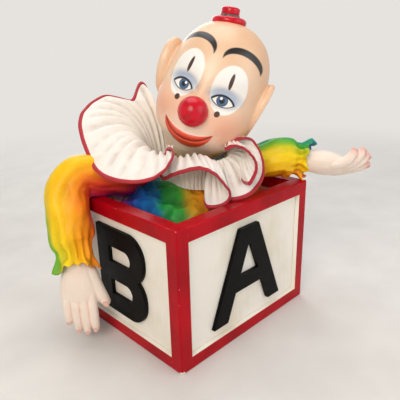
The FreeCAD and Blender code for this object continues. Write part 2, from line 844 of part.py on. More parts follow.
def make_left_arm(body):
    way = unit(left_arm_way)
    root = Vector(left_root_x, left_root_y, box_height + arm_root_rise)
    elbow = root + way * left_elbow_reach
    elbow.z = box_height + sleeve_elbow_radius + left_elbow_lift
    heading = unit(way - Vector(0, 0, left_droop))
    wrist = elbow + heading * left_forearm
    bends = [(elbow + heading * (left_forearm / 2), sleeve_full_radius)]
    upper = upper_sleeve(root, elbow, 1.1, heading, body)
    lower = cuffed_sleeve(elbow, bends, wrist, heading, Vector(0, 0, 1))
    axis = way.cross(Vector(0, 0, 1))
    hole = wrist_hole(wrist, heading)
    upper, lower = split_elbow(upper, lower, hole, elbow, axis, way, left_crease, left_back)
    save("left_upper_sleeve", upper)
    save("left_lower_sleeve", lower)
    save("left_hand", place_hand(hand_solid(-1, left_curls, left_spread), wrist, heading, left_palm_way))
    print("left elbow", elbow, "axis", axis, "wrist", wrist, "heading", heading)


make_posts()
make_rails()
make_panels()
make_letters()
make_base()
make_seats()
make_spring()
make_neck_post()
body = make_body()
make_head()
make_ruff()
make_right_arm(body)
make_left_arm(body)
print("head up", head_up, "face ahead", face_ahead, "neck", neck_centre)
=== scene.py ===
import json
import math

import bmesh
import bpy
import numpy as np
from mathutils import Matrix, Vector, noise


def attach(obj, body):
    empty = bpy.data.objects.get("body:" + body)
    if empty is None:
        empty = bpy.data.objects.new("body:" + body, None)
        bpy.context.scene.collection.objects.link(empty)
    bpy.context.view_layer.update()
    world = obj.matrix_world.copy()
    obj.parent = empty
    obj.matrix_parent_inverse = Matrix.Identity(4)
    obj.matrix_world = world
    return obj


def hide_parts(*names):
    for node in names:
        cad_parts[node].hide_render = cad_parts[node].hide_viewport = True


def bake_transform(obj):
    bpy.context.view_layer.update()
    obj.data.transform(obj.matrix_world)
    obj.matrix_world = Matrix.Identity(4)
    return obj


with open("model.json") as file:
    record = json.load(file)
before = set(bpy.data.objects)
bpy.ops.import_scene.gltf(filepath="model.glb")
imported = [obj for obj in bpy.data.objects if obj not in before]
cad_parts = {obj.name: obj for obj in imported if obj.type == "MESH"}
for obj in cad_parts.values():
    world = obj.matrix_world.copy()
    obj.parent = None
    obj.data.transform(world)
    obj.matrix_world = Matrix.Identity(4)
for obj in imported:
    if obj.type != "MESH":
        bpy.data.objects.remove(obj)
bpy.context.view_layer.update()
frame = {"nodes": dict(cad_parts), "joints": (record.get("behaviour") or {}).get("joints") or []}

nodes = frame["nodes"]
joints = {joint["name"]: joint for joint in frame["joints"]}
mm = 0.001  # the CAD frame is in metres, the sizes below are in millimetres
diagonalWave = 2 * math.pi / (10 * math.sqrt(3))  # scale of a wave texture with diagonal bands 1 mm apart


def toLinear(code):
    parts = [int(code[i:i + 2], 16) / 255 for i in (1, 3, 5)]
    return [c / 12.92 if c <= 0.04045 else ((c + 0.055) / 1.055) ** 2.4 for c in parts] + [1.0]


def addNode(tree, kind, inputs=None, stops=None, **settings):
    node = tree.nodes.new("ShaderNode" + kind)
    for name, value in settings.items():
        setattr(node, name, value)
    if stops:
        marks = node.color_ramp.elements
        marks[0].position, marks[0].color = stops[0][0], toLinear(stops[0][1])
        marks[-1].position, marks[-1].color = stops[-1][0], toLinear(stops[-1][1])
        for place, code in stops[1:-1]:
            marks.new(place).color = toLinear(code)
    for name, value in (inputs or {}).items():
        if isinstance(value, bpy.types.NodeSocket):
            tree.links.new(value, node.inputs[name])
        else:
            node.inputs[name].default_value = value
    return node.outputs[0] if len(node.outputs) else node


def startFinish(name, **shaderInputs):
    finish = bpy.data.materials.new(name)
    finish.use_nodes = True
    tree = finish.node_tree
    tree.nodes.clear()
    named = {key.replace("_", " "): value for key, value in shaderInputs.items()}
    surface = addNode(tree, "BsdfPrincipled", named)
    addNode(tree, "OutputMaterial", {"Surface": surface})
    return finish, tree, surface.node


def objectPoint(tree):
    # the surface point in the piece's own frame, in millimetres
    place = addNode(tree, "TexCoord").node.outputs["Object"]
    return addNode(tree, "VectorMath", {0: place, "Scale": 1000.0}, operation="SCALE")


def connect(tree, socket, node, name):
    tree.links.new(socket, node.inputs[name])


def dress(piece, *finishes):
    piece.data.materials.clear()
    for finish in finishes:
        piece.data.materials.append(finish)


def unit(v):
    return v / np.linalg.norm(v)


def smoothStep(low, high, x):
    t = np.clip((x - low) / (high - low), 0.0, 1.0)
    return t * t * (3 - 2 * t)


def through(keys, at):
    # a smooth curve through rows of keys, the first column being where each one lies
    keys = np.array(keys, float)
    x, values = keys[:, 0], keys[:, 1:]
    at = np.atleast_1d(np.array(at, float))
    k = np.clip(np.searchsorted(x, at, side="right") - 1, 0, len(x) - 2)
    slope = np.gradient(values, x, axis=0)
    h = (x[k + 1] - x[k])[:, None]
    t = ((at - x[k]) / (x[k + 1] - x[k]))[:, None]
    a, b = values[k], values[k + 1]
    return ((2 * t ** 3 - 3 * t ** 2 + 1) * a + (t ** 3 - 2 * t ** 2 + t) * h * slope[k]
            + (3 * t ** 2 - 2 * t ** 3) * b + (t ** 3 - t ** 2) * h * slope[k + 1])


def gridPiece(name, points, wrap=True, joinEnds=False):
    # points: rows by columns by xyz in millimetres; u runs along a row, v from row to row
    rows, columns = points.shape[:2]
    across = columns if wrap else columns - 1
    down = rows if joinEnds else rows - 1
    faces, corners = [], []
    for r in range(down):
        for c in range(across):
            r1, c1 = (r + 1) % rows, (c + 1) % columns
            faces.append((r * columns + c, r * columns + c1, r1 * columns + c1, r1 * columns + c))
            u0, u1, v0, v1 = c / across, (c + 1) / across, r / down, (r + 1) / down
            corners += [u0, v0, u1, v0, u1, v1, u0, v1]
    mesh = bpy.data.meshes.new(name)
    mesh.from_pydata((points.reshape(-1, 3) * mm).tolist(), [], faces)
    mesh.uv_layers.new(name="lay").data.foreach_set("uv", corners)
    mesh.polygons.foreach_set("use_smooth", [True] * len(faces))
    mesh.update()
    piece = bpy.data.objects.new(name, mesh)
    bpy.context.scene.collection.objects.link(piece)
    return piece


def lathe(name, profile, turns=72):
    # profile: radius and height pairs in millimetres, turned about the piece's own Z
    angles = np.linspace(0, 2 * math.pi, turns, endpoint=False)
    profile = np.array(profile, float)
    points = np.zeros((len(profile), turns, 3))
    points[:, :, 0] = profile[:, :1] * np.cos(angles)
    points[:, :, 1] = profile[:, :1] * np.sin(angles)
    points[:, :, 2] = profile[:, 1:]
    return gridPiece(name, points)


def settle(piece):
    # bakes the modifiers into the mesh
    graph = bpy.context.evaluated_depsgraph_get()
    made = bpy.data.meshes.new_from_object(piece.evaluated_get(graph))
    piece.modifiers.clear()
    piece.data = made
    made.polygons.foreach_set("use_smooth", [True] * len(made.polygons))


def joinPieces(name, pieces):
    joined = bmesh.new()
    for piece in pieces:
        joined.from_mesh(piece.data)
        bpy.data.objects.remove(piece)
    mesh = bpy.data.meshes.new(name)
    joined.to_mesh(mesh)
    joined.free()
    made = bpy.data.objects.new(name, mesh)
    bpy.context.scene.collection.objects.link(made)
    return made


def fuse(name, pieces, voxel):
    # joins pieces of one fired body into a single skin
    made = joinPieces(name, pieces)
    remesh = made.modifiers.new("skin", "REMESH")
    remesh.mode, remesh.voxel_size = "VOXEL", voxel * mm
    smooth = made.modifiers.new("soften", "SMOOTH")
    smooth.factor, smooth.iterations = 0.5, 3
    settle(made)
    return made


def wobble(x, y, z, seed=0.0):
    return noise.noise(Vector((x + seed, y - seed, z + 0.37 * seed)))


# Camera and stage

view = {"azimuth": -44.51, "elevation": 19.39, "roll": -1.41, "focalPixels": 450.04, "framePixels": 400.0,
        "place": (-221.5, -237.8, 201.5)}


def makeCamera():
    a, e, r = (math.radians(view[k]) for k in ("azimuth", "elevation", "roll"))
    back = Vector((math.sin(a) * math.cos(e), -math.cos(a) * math.cos(e), math.sin(e)))
    level = Vector((math.cos(a), math.sin(a), 0.0))
    rise = back.cross(level)
    right = level * math.cos(r) + rise * math.sin(r)
    up = rise * math.cos(r) - level * math.sin(r)
    data = bpy.data.cameras.new("photoCamera")
    data.sensor_width = 36.0
    data.lens = view["focalPixels"] / view["framePixels"] * data.sensor_width
    data.clip_start = 0.01
    camera = bpy.data.objects.new("photoCamera", data)
    turn = Matrix((right, up, back)).transposed().to_4x4()
    camera.matrix_world = Matrix.Translation(Vector(view["place"]) * mm) @ turn
    bpy.context.scene.collection.objects.link(camera)
    bpy.context.scene.camera = camera


stage = {"paper": "#E2DFDA", "paperShade": "#DAD7D2", "far": "#E6E3DE", "fade": (260.0, 900.0),
         "floor": (700.0, 1150.0), "bend": 450.0, "bendSteps": 12, "wallTop": 1500.0,
         "skyColour": "#E8ECF2", "skyLight": 0.42,
         "lamps": [("keyWindow", (-600, -330, 560), 0.40, 3.7, "#FFF6EC"),
                   ("frontFill", (260, -760, 380), 0.60, 2.0, "#F4F6FF"),
                   ("topSoft", (120, 120, 820), 0.60, 2.7, "#FFFFFF"),
                   ("backRim", (420, 620, 420), 0.50, 1.6, "#FFFFFF")],
         "aim": (0, -10, 95)}


def makeStage():
    inner, flat = stage["floor"]
    bend = stage["bend"]
    profile = [(0.0, 0.0), (inner, 0.0), (flat, 0.0)]
    for step in range(1, stage["bendSteps"] + 1):
        turn = math.radians(90 * step / stage["bendSteps"])
        profile.append((flat + bend * math.sin(turn), bend - bend * math.cos(turn)))
    profile.append((flat + bend, stage["wallTop"]))
    floor = lathe("paperSweep", profile, 96)
    # matt backdrop paper: pale and fibrous, an even tone far from the object
    finish, tree, shader = startFinish("mattPaper", Roughness=0.9)
    at = objectPoint(tree)
    fibre = addNode(tree, "TexNoise", {"Vector": at, "Scale": 0.02, "Detail": 6.0})
    tone = addNode(tree, "ValToRGB", {"Fac": fibre}, [(0.35, stage["paperShade"]), (0.65, stage["paper"])])
    connect(tree, tone, shader, "Base Color")
    paths = addNode(tree, "LightPath").node.outputs
    seen = addNode(tree, "Math", {0: paths["Is Camera Ray"], 1: paths["Is Glossy Ray"]}, operation="MAXIMUM")
    seen = addNode(tree, "Math", {0: seen, 1: paths["Is Transmission Ray"]}, operation="MAXIMUM")
    away = addNode(tree, "VectorMath", {0: at}, operation="LENGTH").node.outputs["Value"]
    near, far = stage["fade"]
    fade = addNode(tree, "MapRange", {"Value": away, "From Min": near, "From Max": far},
                   interpolation_type="SMOOTHSTEP")
    amount = addNode(tree, "Math", {0: fade, 1: seen}, operation="MULTIPLY")
    glow = addNode(tree, "Emission", {"Color": toLinear(stage["far"]), "Strength": 1.0})
    both = addNode(tree, "MixShader", {"Fac": amount, 1: shader.outputs[0], 2: glow})
    connect(tree, both, tree.nodes["Material Output"], "Surface")
    dress(floor, finish)
    world = bpy.data.worlds.new("softSky")
    world.use_nodes = True
    sky = world.node_tree.nodes["Background"]
    sky.inputs["Color"].default_value = toLinear(stage["skyColour"])
    sky.inputs["Strength"].default_value = stage["skyLight"]
    bpy.context.scene.world = world
    for name, place, size, power, tint in stage["lamps"]:
        data = bpy.data.lights.new(name, "AREA")
        data.size, data.energy, data.color = size, power, toLinear(tint)[:3]
        lamp = bpy.data.objects.new(name, data)
        lamp.location = Vector(place) * mm
        lamp.rotation_mode = "QUATERNION"
        lamp.rotation_quaternion = (Vector(stage["aim"]) * mm - lamp.location).to_track_quat("-Z", "Y")
        bpy.context.scene.collection.objects.link(lamp)
    bpy.context.scene.view_settings.view_transform = "Standard"


makeCamera()
makeStage()
print("camera and stage made")


# Block: the CAD frame, panels and letters with paint and worn edges

block = {"width": 135.0, "depth": 122.0, "height": 100.0, "section": 9.5, "recess": 3.5,
         "red": "#B80418", "deepRed": "#990212", "primer": "#F1E7DA",
         "cream": "#F3EEE3", "creamAged": "#E9E0CC", "black": "#050505", "rubbed": "#141210",
         "pine": "#C39A66", "pineDark": "#A97E4C", "steel": "#B9BBBE", "steelDark": "#8C8D90",
         "chipSize": 3.2, "edgeRound": 0.35, "weld": 0.01,
         # knocks on the near corner post: place and reach
         "knocks": [(-67.5, -61.0, 100.0, 0.7), (-67.5, -61.0, 0.0, 2.6), (-67.5, -61.0, 52.0, 0.6)]}


def redLacquer():
    # brushed lacquer on pine: soft gloss, faint brush waves, pale primer where the edges are knocked
    finish, tree, shader = startFinish("redLacquerOnPine", Roughness=0.32, Specular_IOR_Level=0.13)
    at = objectPoint(tree)
    cloudy = addNode(tree, "TexNoise", {"Vector": at, "Scale": 0.035, "Detail": 3.0})
    paint = addNode(tree, "ValToRGB", {"Fac": cloudy}, [(0.3, block["deepRed"]), (0.62, block["red"])])
    size = (block["width"] / 2, block["depth"] / 2, block["height"] / 2)
    centred = addNode(tree, "VectorMath", {0: at, 1: (0.0, 0.0, -size[2])}, operation="ADD")
    folded = addNode(tree, "VectorMath", {0: centred}, operation="ABSOLUTE")
    depths = addNode(tree, "VectorMath", {0: size, 1: folded}, operation="SUBTRACT")
    split = addNode(tree, "SeparateXYZ", {"Vector": depths}).node
    deepest = addNode(tree, "Math", {0: split.outputs[0], 1: split.outputs[1]}, operation="MAXIMUM")
    deepest = addNode(tree, "Math", {0: deepest, 1: split.outputs[2]}, operation="MAXIMUM")
    total = addNode(tree, "VectorMath", {0: depths, 1: (1.0, 1.0, 1.0)}, operation="DOT_PRODUCT").node
    # distance from the nearest outer edge: the two smaller depths added
    edge = addNode(tree, "Math", {0: total.outputs["Value"], 1: deepest}, operation="SUBTRACT")
    flakes = addNode(tree, "TexNoise", {"Vector": at, "Scale": 1 / block["chipSize"], "Detail": 4.0})
    rough = addNode(tree, "Math", {0: flakes, 1: -11.0, 2: 7.6}, operation="MULTIPLY_ADD")
    worn = addNode(tree, "Math", {0: edge, 1: rough}, operation="ADD")
    chips = addNode(tree, "MapRange", {"Value": worn, "From Min": 0.75, "From Max": 0.55})
    for x, y, z, reach in block["knocks"]:
        near = addNode(tree, "VectorMath", {0: at, 1: (x, y, z)}, operation="DISTANCE").node.outputs["Value"]
        ragged = addNode(tree, "Math", {0: flakes, 1: 5.0, 2: near}, operation="MULTIPLY_ADD")
        knock = addNode(tree, "MapRange", {"Value": ragged, "From Min": reach + 2.7, "From Max": reach + 2.5})
        chips = addNode(tree, "Math", {0: chips, 1: knock}, operation="MAXIMUM")
    colour = addNode(tree, "MixRGB", {"Fac": chips, "Color1": paint, "Color2": toLinear(block["primer"])})
    connect(tree, colour, shader, "Base Color")
    dull = addNode(tree, "MapRange", {"Value": chips, "To Min": 0.3, "To Max": 0.75})
    connect(tree, dull, shader, "Roughness")
    brush = addNode(tree, "TexNoise", {"Vector": at, "Scale": 0.25, "Detail": 5.0, "Roughness": 0.6})
    height = addNode(tree, "Math", {0: chips, 1: -0.5, 2: brush}, operation="MULTIPLY_ADD")
    bump = addNode(tree, "Bump", {"Height": height, "Strength": 0.16, "Distance": 0.0006})
    connect(tree, bump, shader, "Normal")
    return finish


def creamPaint():
    # eggshell paint on plywood: warm white, yellowed patches, upright brush drag
    finish, tree, shader = startFinish("creamEggshell", Roughness=0.48)
    at = objectPoint(tree)
    patch = addNode(tree, "TexNoise", {"Vector": at, "Scale": 0.03, "Detail": 4.0})
    drawn = addNode(tree, "VectorMath", {0: at, 1: (0.9, 0.9, 0.06)}, operation="MULTIPLY")
    drag = addNode(tree, "TexNoise", {"Vector": drawn, "Scale": 0.8, "Detail": 4.0})
    mixed = addNode(tree, "Math", {0: drag, 1: 0.3, 2: patch}, operation="MULTIPLY_ADD")
    tone = addNode(tree, "ValToRGB", {"Fac": mixed}, [(0.45, block["creamAged"]), (0.72, block["cream"])])
    connect(tree, tone, shader, "Base Color")
    bump = addNode(tree, "Bump", {"Height": drag, "Strength": 0.18, "Distance": 0.0004})
    connect(tree, bump, shader, "Normal")
    return finish


def blackEnamel():
    # brushed black enamel on sawn ply letters: deep, a little dusty, rubbed grey here and there
    finish, tree, shader = startFinish("blackEnamel", Roughness=0.4, Specular_IOR_Level=0.09)
    at = objectPoint(tree)
    dust = addNode(tree, "TexNoise", {"Vector": at, "Scale": 0.12, "Detail": 6.0})
    tone = addNode(tree, "ValToRGB", {"Fac": dust}, [(0.45, block["black"]), (0.85, block["rubbed"])])
    connect(tree, tone, shader, "Base Color")
    gloss = addNode(tree, "MapRange", {"Value": dust, "From Min": 0.3, "From Max": 0.7,
                                       "To Min": 0.34, "To Max": 0.55})
    connect(tree, gloss, shader, "Roughness")
    bump = addNode(tree, "Bump", {"Height": dust, "Strength": 0.12, "Distance": 0.0005})
    connect(tree, bump, shader, "Normal")
    return finish


def plainPine():
    # planed pine: pale wood with long growth lines 4 mm apart
    finish, tree, shader = startFinish("planedPine", Roughness=0.6)
    at = objectPoint(tree)
    stretched = addNode(tree, "VectorMath", {0: at, 1: (0.05, 1.0, 1.0)}, operation="MULTIPLY")
    rings = addNode(tree, "TexWave", {"Vector": stretched, "Scale": 0.08, "Distortion": 5.0, "Detail": 3.0},
                    wave_type="RINGS", rings_direction="X").node.outputs["Fac"]
    tone = addNode(tree, "ValToRGB", {"Fac": rings}, [(0.2, block["pineDark"]), (0.7, block["pine"])])
    connect(tree, tone, shader, "Base Color")
    bump = addNode(tree, "Bump", {"Height": rings, "Strength": 0.2, "Distance": 0.0003})
    connect(tree, bump, shader, "Normal")
    return finish


def springSteel():
    # drawn steel wire: bright, a little rubbed
    finish, tree, shader = startFinish("drawnSteel", Metallic=1.0, Roughness=0.3)
    scratch = addNode(tree, "TexNoise", {"Vector": objectPoint(tree), "Scale": 1.4, "Detail": 5.0})
    tone = addNode(tree, "ValToRGB", {"Fac": scratch}, [(0.3, block["steelDark"]), (0.7, block["steel"])])
    connect(tree, tone, shader, "Base Color")
    rub = addNode(tree, "MapRange", {"Value": scratch, "To Min": 0.2, "To Max": 0.45})
    connect(tree, rub, shader, "Roughness")
    return finish


def inRecess(centre, normal):
    # the walls of the sunk panels are painted with the panels
    inX = block["width"] / 2 - abs(centre.x)
    inY = block["depth"] / 2 - abs(centre.y)
    low, section, slack, square = centre.z, block["section"], 0.3, 0.9
    reach = block["recess"] + 0.2
    level = min(abs(low - section), abs(low - block["height"] + section)) < slack
    flat = abs(normal.z) > square and level
    sideX = abs(normal.x) > square and abs(inX - section) < slack and inY < reach
    sideY = abs(normal.y) > square and abs(inY - section) < slack and inX < reach
    return min(inX, inY) < reach and (flat or sideX or sideY)


def makeBlock():
    red, cream, black, pine, steel = redLacquer(), creamPaint(), blackEnamel(), plainPine(), springSteel()
    timber = ("corner_post", "top_rail", "bottom_rail")
    for name, node in nodes.items():
        if name.startswith(timber):
            dress(node, red, cream)
            for face in node.data.polygons:
                face.material_index = int(inRecess(face.center / mm, face.normal))
        elif name.startswith("side_panel"):
            dress(node, cream)
        elif name.startswith("letter"):
            dress(node, black)
        elif name in ("base_board", "spring_seat", "spring_cap", "neck_post"):
            dress(node, pine)
        elif name == "base_screws":
            dress(node, steel)
        if name.startswith(timber + ("letter",)):
            weld = node.modifiers.new("weld", "WELD")
            weld.merge_threshold = block["weld"] * mm
            ease = node.modifiers.new("easedEdges", "BEVEL")
            ease.width, ease.segments = block["edgeRound"] * mm, 2
            ease.limit_method, ease.angle_limit = "ANGLE", math.radians(40)
    return steel


steelFinish = makeBlock()
print("block painted")


# Spring: one drawn wire, built as one fixed coil; on the object it stretches as the figure rises

spring = {"radius": 18.0, "wire": 2.0, "low": 11.3, "high": 52.7, "turns": 4, "steps": 64, "sides": 14}


def makeSpring():
    count = spring["turns"] * spring["steps"] + 1
    along = np.linspace(0, 1, count)
    angle = along * spring["turns"] * 2 * math.pi
    rise = (spring["high"] - spring["low"]) / (spring["turns"] * 2 * math.pi * spring["radius"])
    out = np.stack([np.cos(angle), np.sin(angle), np.zeros(count)], 1)
    lie = np.stack([np.sin(angle) * rise, -np.cos(angle) * rise, np.ones(count)], 1) / math.hypot(1, rise)
    line = out * spring["radius"]
    line[:, 2] = spring["low"] + along * (spring["high"] - spring["low"])
    turn = np.linspace(0, 2 * math.pi, spring["sides"], endpoint=False)
    r = spring["wire"] / 2
    points = (line[:, None] + out[:, None] * (np.cos(turn) * r)[None, :, None]
              + lie[:, None] * (np.sin(turn) * r)[None, :, None])
    ends = [np.repeat(line[:1], spring["sides"], 0)[None], np.repeat(line[-1:], spring["sides"], 0)[None]]
    wire = gridPiece("wireSpring", np.concatenate([ends[0], points, ends[1]]))
    dress(wire, steelFinish)
    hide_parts("coil_spring")
    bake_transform(wire)


makeSpring()
print("spring wound")


# Satin: sleeves and body cut from one cloth dyed in a blended rainbow

satin = {"dye": [(0.0, "#2F9A3A"), (0.10, "#7FB52B"), (0.20, "#F2D21A"), (0.36, "#F6B312"),
                 (0.48, "#F08A14"), (0.58, "#E2471D"), (0.66, "#C2203F"), (0.76, "#6A3A97"),
                 (0.86, "#2357B0"), (0.94, "#1E8C8A"), (1.0, "#2F9A3A")],
         # the body's dye is a darker copy of the sleeves' rainbow: painted shade on the cloth down in the
         # block's opening
         "shadedBodyDye": [(0.0, "#A01C34"), (0.14, "#7A2A5E"), (0.22, "#2F469C"), (0.30, "#0F5CB0"),
                     (0.45, "#0E6FA8"), (0.53, "#1E9245"), (0.66, "#3FA03A"), (0.74, "#B99420"),
                     (0.82, "#D98A1A"), (1.0, "#D8641A")],
         # the body's dye runs across the opening: share of the run for each millimetre, and where it starts
         "bodyRun": (0.0085, -0.0085, 0.004), "bodyStart": 0.31,
         "bleed": 0.14, "bodyBleed": 0.16, "threadSpacing": 1.053}


def satinFinish(name, stops, fromLay, hollow):
    # dyed polyester satin: soft highlights, blended dye, threads drawn coarser than life so they show;
    # painted shade in the hollows of the folds and painted light on their crowns
    finish, tree, shader = startFinish(name, Roughness=0.42, Specular_IOR_Level=0.24)
    at = objectPoint(tree)
    bleed = addNode(tree, "TexNoise", {"Vector": at, "Scale": 0.06, "Detail": 3.0})
    if fromLay:
        where = addNode(tree, "SeparateXYZ", {"Vector": addNode(tree, "UVMap", uv_map="lay")})
        amount = satin["bleed"]
    else:
        run = addNode(tree, "VectorMath", {0: at, 1: satin["bodyRun"]}, operation="DOT_PRODUCT").node
        where = addNode(tree, "Math", {0: run.outputs["Value"], 1: satin["bodyStart"]}, operation="ADD")
        amount = satin["bodyBleed"]
    shifted = addNode(tree, "Math", {0: bleed, 1: amount, 2: where}, operation="MULTIPLY_ADD")
    shifted = addNode(tree, "Math", {0: shifted, 1: amount / 2}, operation="SUBTRACT")
    if fromLay:
        shifted = addNode(tree, "Math", {0: shifted}, operation="FRACT")
    dye = addNode(tree, "ValToRGB", {"Fac": shifted}, stops)
    streak = addNode(tree, "TexNoise", {"Vector": at, "Scale": 0.5, "Detail": 5.0})
    shade = addNode(tree, "MapRange", {"Value": streak, "To Min": 0.96, "To Max": 1.1})
    # painted shade and light: the dye is darkened in the hollows of the folds and lightened on their crowns
    fold = addNode(tree, "Attribute", attribute_name="fold").node.outputs["Fac"]
    deep = addNode(tree, "MapRange", {"Value": fold, "From Min": -1.0, "From Max": 1.0,
                                      "To Min": hollow, "To Max": 1.1})
    lit = addNode(tree, "Math", {0: shade, 1: deep}, operation="MULTIPLY")
    colour = addNode(tree, "VectorMath", {0: dye, "Scale": lit}, operation="SCALE")
    connect(tree, colour, shader, "Base Color")
    weave = addNode(tree, "TexWave", {"Vector": at, "Scale": diagonalWave / satin["threadSpacing"],
                                      "Distortion": 1.5, "Detail": 2.0},
                    bands_direction="DIAGONAL").node.outputs["Fac"]
    crumple = addNode(tree, "TexNoise", {"Vector": at, "Scale": 0.22, "Detail": 4.0})
    height = addNode(tree, "Math", {0: weave, 1: 0.12, 2: crumple}, operation="MULTIPLY_ADD")
    bump = addNode(tree, "Bump", {"Height": height, "Strength": 0.35, "Distance": 0.0008})
    connect(tree, bump, shader, "Normal")
    return finish


def keepFold(piece, values):
    # keeps how high each point stands in the folds, from -1 to 1, for the finish to read as painted shade in
    # the hollows and painted light on the crowns; on the hands it holds the fingertip flush and the painted
    # shade of the creases
    layer = piece.data.attributes.new("fold", "FLOAT", "POINT")
    layer.data.foreach_set("value", np.clip(np.asarray(values, np.float32).ravel(), -1, 1))


def tubeFrames(line, reference):
    # the way along a line, and two directions across it that turn as little as they can
    tangents = np.gradient(line, axis=0)
    tangents /= np.linalg.norm(tangents, axis=1)[:, None]
    sides = np.zeros_like(line)
    side = np.array(reference, float)
    for i, t in enumerate(tangents):
        side = unit(side - t * side.dot(t))
        sides[i] = side
    return tangents, sides, np.cross(tangents, sides)


sleeves = {
    # keys: share of the length, place and radius; dye and hem: share of the way round,
    # with the place in the dye's run and how far the hem reaches past the cuff
    "right": {
        "keys": [(0.00, -17, 19, 106.0, 9.5), (0.13, -34, 25, 108.8, 12.5), (0.30, -55, 31, 112.0, 14.0),
                 (0.44, -70, 36, 114.2, 14.8), (0.56, -79.5, 36, 106.5, 15.2), (0.70, -84.5, 30, 90.0, 15.4),
                 (0.84, -87.0, 24.4, 76.0, 14.6), (0.94, -87.7, 20.8, 67.3, 11.3),
                 (1.00, -89.2, 18.2, 57.0, 14.2)],
        "reference": (-1, 0, 0.2), "drift": (0.12, -0.07), "elbow": 0.46, "seed": 3.1,
        "dye": [(0.0, 0.45), (0.05, 0.38), (0.12, 0.26), (0.23, 0.20), (0.28, 0.11), (0.33, 0.02),
                (0.44, -0.09), (0.62, -0.27), (0.8, -0.40), (0.9, -0.47), (1.0, -0.55)],
        "hem": [(0.0, -5.0), (0.07, -5.6), (0.16, -4.5), (0.24, 0.0), (0.33, 1.6), (0.5, 0.0),
                (0.7, -1.0), (0.83, 0.5), (0.92, -3.0), (1.0, -5.0)],
        "bodies": ("torso", "right_forearm"), "start": (-67.4, 37.3, 121.7), "end": (-83.6, 38.7, 110.3)},
    "left": {
        "keys": [(0.00, 16, -10, 106.0, 9.5), (0.22, 31, -23.5, 111.5, 11.2), (0.45, 46, -37, 116.0, 13.2),
                 (0.62, 54.5, -44.9, 117.9, 14.6), (0.77, 59.6, -49.6, 117.3, 14.6),
                 (0.89, 63.4, -53.0, 116.5, 11.2), (1.00, 71.0, -60.0, 114.3, 14.6)],
        "reference": (0, 0, 1), "drift": (0.0, -0.03), "elbow": 0.64, "seed": 11.7,
        "dye": [(0.0, -0.02), (0.07, 0.04), (0.13, 0.17), (0.22, 0.23), (0.31, 0.31), (0.40, 0.45),
                (0.48, 0.55), (0.62, 0.68), (0.8, 0.84), (1.0, 0.98)],
        "hem": [(0.0, -2.0), (0.06, -5.0), (0.25, -6.5), (0.38, -6.0), (0.46, -2.0), (0.52, 0.0),
                (0.75, -1.5), (0.88, 2.0), (0.95, 2.5), (1.0, -2.0)],
        "bodies": ("torso", "left_forearm"), "start": (50.1, -40.8, 118.2), "end": (63.4, -53.0, 118.2)},
}
sleeveCut = {"rows": 150, "columns": 160, "cloth": 0.7, "gatherReach": 0.22, "bendReach": 0.10,
             "gathers": 15, "gatherDepth": 1.0, "frillWaves": 7, "frillDepth": 2.2, "ragged": 2.6,
             "softDepth": 2.0, "fineDepth": 1.4, "rippleDepth": 1.1, "rippleLength": 2.9}


def makeSleeve(side):
    cut, form = sleeves[side], sleeveCut
    seed, columns = cut["seed"], form["columns"]
    keys = np.array(cut["keys"], float)
    s = np.linspace(0, 1, form["rows"])
    path = through(keys, s)
    line, radius = path[:, :3], path[:, 3]
    tangents, sides, across = tubeFrames(line, cut["reference"])
    elastic = keys[-2, 0]
    hem = np.interp(np.arange(columns) / columns, *zip(*cut["hem"]))
    points = np.zeros((len(s), columns, 3))
    folds = np.zeros(points.shape[:2])
    length = np.concatenate([[0], np.cumsum(np.linalg.norm(np.diff(line, axis=0), axis=1))])
    for i in range(len(s)):
        near = float(smoothStep(elastic - form["gatherReach"], elastic, s[i]))
        frill = float(smoothStep(elastic, 1.0, s[i]))
        bend = math.exp(-((s[i] - cut["elbow"]) / form["bendReach"]) ** 2)
        for k in range(columns):
            a = 2 * math.pi * k / columns
            c, n = math.cos(a), math.sin(a)
            soft = wobble(1.5 * c, 1.5 * n, length[i] / 26, seed)
            fine = wobble(3.2 * c, 3.2 * n, length[i] / 13, seed + 5)
            gather = math.cos(a * form["gathers"] + 2.2 * wobble(c, n, length[i] / 60, seed + 9))
            ripple = math.sin(length[i] / form["rippleLength"] + 1.8 * wobble(2 * c, 2 * n, 0.0, seed + 2))
            wave = math.cos(a * form["frillWaves"] + 1.6 * wobble(c, n, 2.0, seed + 4))
            inner = max(0.0, -c)
            push = (form["softDepth"] * soft * (1 - 0.6 * near) + form["fineDepth"] * fine * (1 - frill)
                    + form["gatherDepth"] * gather * near * (1 - 0.6 * frill)
                    + form["rippleDepth"] * bend * inner * ripple + form["frillDepth"] * wave * frill)
            reach = radius[i] + push
            points[i, k] = line[i] + sides[i] * (reach * c) + across[i] * (reach * n)
            ragged = 1.2 * wobble(2.2 * c, 2.2 * n, 7.0, seed) + 0.3 * math.sin(a * 15 + seed)
            points[i, k] += tangents[i] * (frill * (form["ragged"] * ragged + hem[k]))
            folds[i, k] = (0.45 * soft + 0.5 * fine + 0.55 * gather * near + 0.5 * bend * inner * ripple
                           + 0.4 * wave * frill)
    piece = gridPiece("satinSleeve" + side.capitalize(), points)
    lay = piece.data.uv_layers["lay"].data
    turned = np.zeros(len(lay) * 2, np.float32)
    lay.foreach_get("uv", turned)
    around = np.interp(turned[0::2], *zip(*cut["dye"]))
    turned[0::2] = around + np.interp(turned[1::2], (0.3, 1.0), cut["drift"])
    lay.foreach_set("uv", turned)
    keepFold(piece, folds)
    thick = piece.modifiers.new("cloth", "SOLIDIFY")
    thick.thickness, thick.offset = form["cloth"] * mm, -1.0
    settle(piece)
    dress(piece, sleeveSatin)
    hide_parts(side + "_upper_sleeve", side + "_lower_sleeve")
    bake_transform(piece)


sleeveSatin = satinFinish("rainbowSatin", satin["dye"], True, 0.74)
makeSleeve("right")
makeSleeve("left")
print("sleeves sewn")


